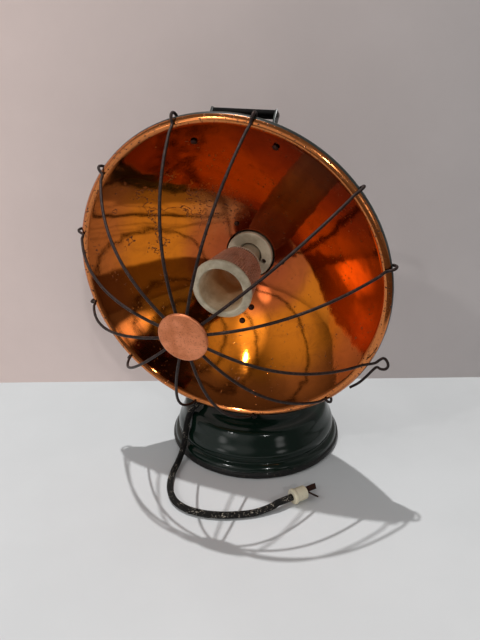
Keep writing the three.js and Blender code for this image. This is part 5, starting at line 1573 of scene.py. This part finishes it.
class HEATER_OT_base(BuildOperator):
    """The stepped enamel base with its neck, collar, post, weight and bottom plate."""

    bl_idname = "heater.base"
    bl_label = "Base and post"

    def execute(self, context):
        foot = [(BASE_R - inwards, z) for inwards, z in BASE_STEPS]
        neck = [(NECK_TOP_R + outwards, z) for outwards, z in NECK_LINE]
        outside = [(FOOT_OUTER_R, 0), *foot, *neck, (POST_R + SEAT, NECK_TOP)]
        line = flowing([Vector(p) for p in outside], 4)
        for point in line:
            point.y = min(max(point.y, 0), NECK_TOP)
            point.x = min(point.x, BASE_R)
        inside = offset(line, BASE_SHEET)
        inner_r, inner_top = POST_R + SEAT, NECK_TOP - BASE_SHEET
        kept = [Vector((max(p.x, inner_r), min(p.y, inner_top))) for p in inside[9:]]
        outline = [*line, *reversed(kept), Vector((FOOT_INNER_R, 2)), Vector((FOOT_INNER_R, 0))]
        mesh = turned(outline, green_enamel, None, 160, 45)
        shown("enamel_base", mesh, "stand", green_enamel, ["base_shell"])
        plate_r = FOOT_INNER_R - 3 * SEAT
        plate = [
            (0, 0.5), (20, 0.5), (22, 0), (plate_r - 9, 0), (plate_r - 8, 0.4), (plate_r - 6, 0.4),
            (plate_r - 5, 0), (plate_r, 0), (plate_r, PLATE_THICKNESS), (0, PLATE_THICKNESS),
        ]
        lathed("bottom_plate", plate, "stand", cast_iron, "base_plate", None, 128, 0.4)
        collar = [
            (POST_R + SEAT, NECK_TOP + SEAT), (NECK_TOP_R - 1.5, NECK_TOP + SEAT),
            (NECK_TOP_R - 1.5, NECK_TOP + COLLAR_STEP), (POST_R + 4, NECK_TOP + COLLAR_HEIGHT),
            (POST_R + SEAT, NECK_TOP + COLLAR_HEIGHT),
        ]
        lathed("collar_ring", collar, "stand", black_japan, "neck_collar", None, 64, 0.7)
        post_top = PIVOT.z - POST_DROP
        post = [
            (POST_BORE_R, PLATE_THICKNESS + SEAT), (POST_R, PLATE_THICKNESS + SEAT), (POST_R, post_top),
            (POST_BORE_R, post_top),
        ]
        lathed("post_tube", post, "stand", dull_steel, "stand_post", None, 64, 0.4)
        painted("base_weight", cast_iron)
        painted("post_nut", dull_steel)
        return {"FINISHED"}


# ---------------------------------------------------------------- panel and registration

STEPS = (
    HEATER_OT_stage, HEATER_OT_plug, HEATER_OT_lead, HEATER_OT_base, HEATER_OT_hinge, HEATER_OT_bowl,
    HEATER_OT_element, HEATER_OT_housing, HEATER_OT_guard, HEATER_OT_handle,
)


class HEATER_PT_panel(bpy.types.Panel):
    """Lists the heater's sizes, colours and pieces."""

    bl_idname = "HEATER_PT_panel"
    bl_label = "Bowl heater"
    bl_space_type = "VIEW_3D"
    bl_region_type = "UI"
    bl_category = "Heater"

    def draw(self, context):
        for group in (context.scene.heater_sizes, context.scene.heater_colours):
            for key in group.bl_rna.properties.keys():
                if key not in ("rna_type", "name"):
                    self.layout.prop(group, key)
        for step in STEPS:
            self.layout.operator(step.bl_idname)


CLASSES = (HeaterSizes, HeaterColours, *STEPS, HEATER_PT_panel)


def register():
    for cls in CLASSES:
        bpy.utils.register_class(cls)
    bpy.types.Scene.heater_sizes = bpy.props.PointerProperty(type=HeaterSizes)
    bpy.types.Scene.heater_colours = bpy.props.PointerProperty(type=HeaterColours)


def unregister():
    del bpy.types.Scene.heater_colours
    del bpy.types.Scene.heater_sizes
    for cls in reversed(CLASSES):
        bpy.utils.unregister_class(cls)


def main():
    register()
    for step in STEPS:
        getattr(bpy.ops.heater, step.bl_idname.split(".")[1])()


if __name__ == "__main__":
    main()
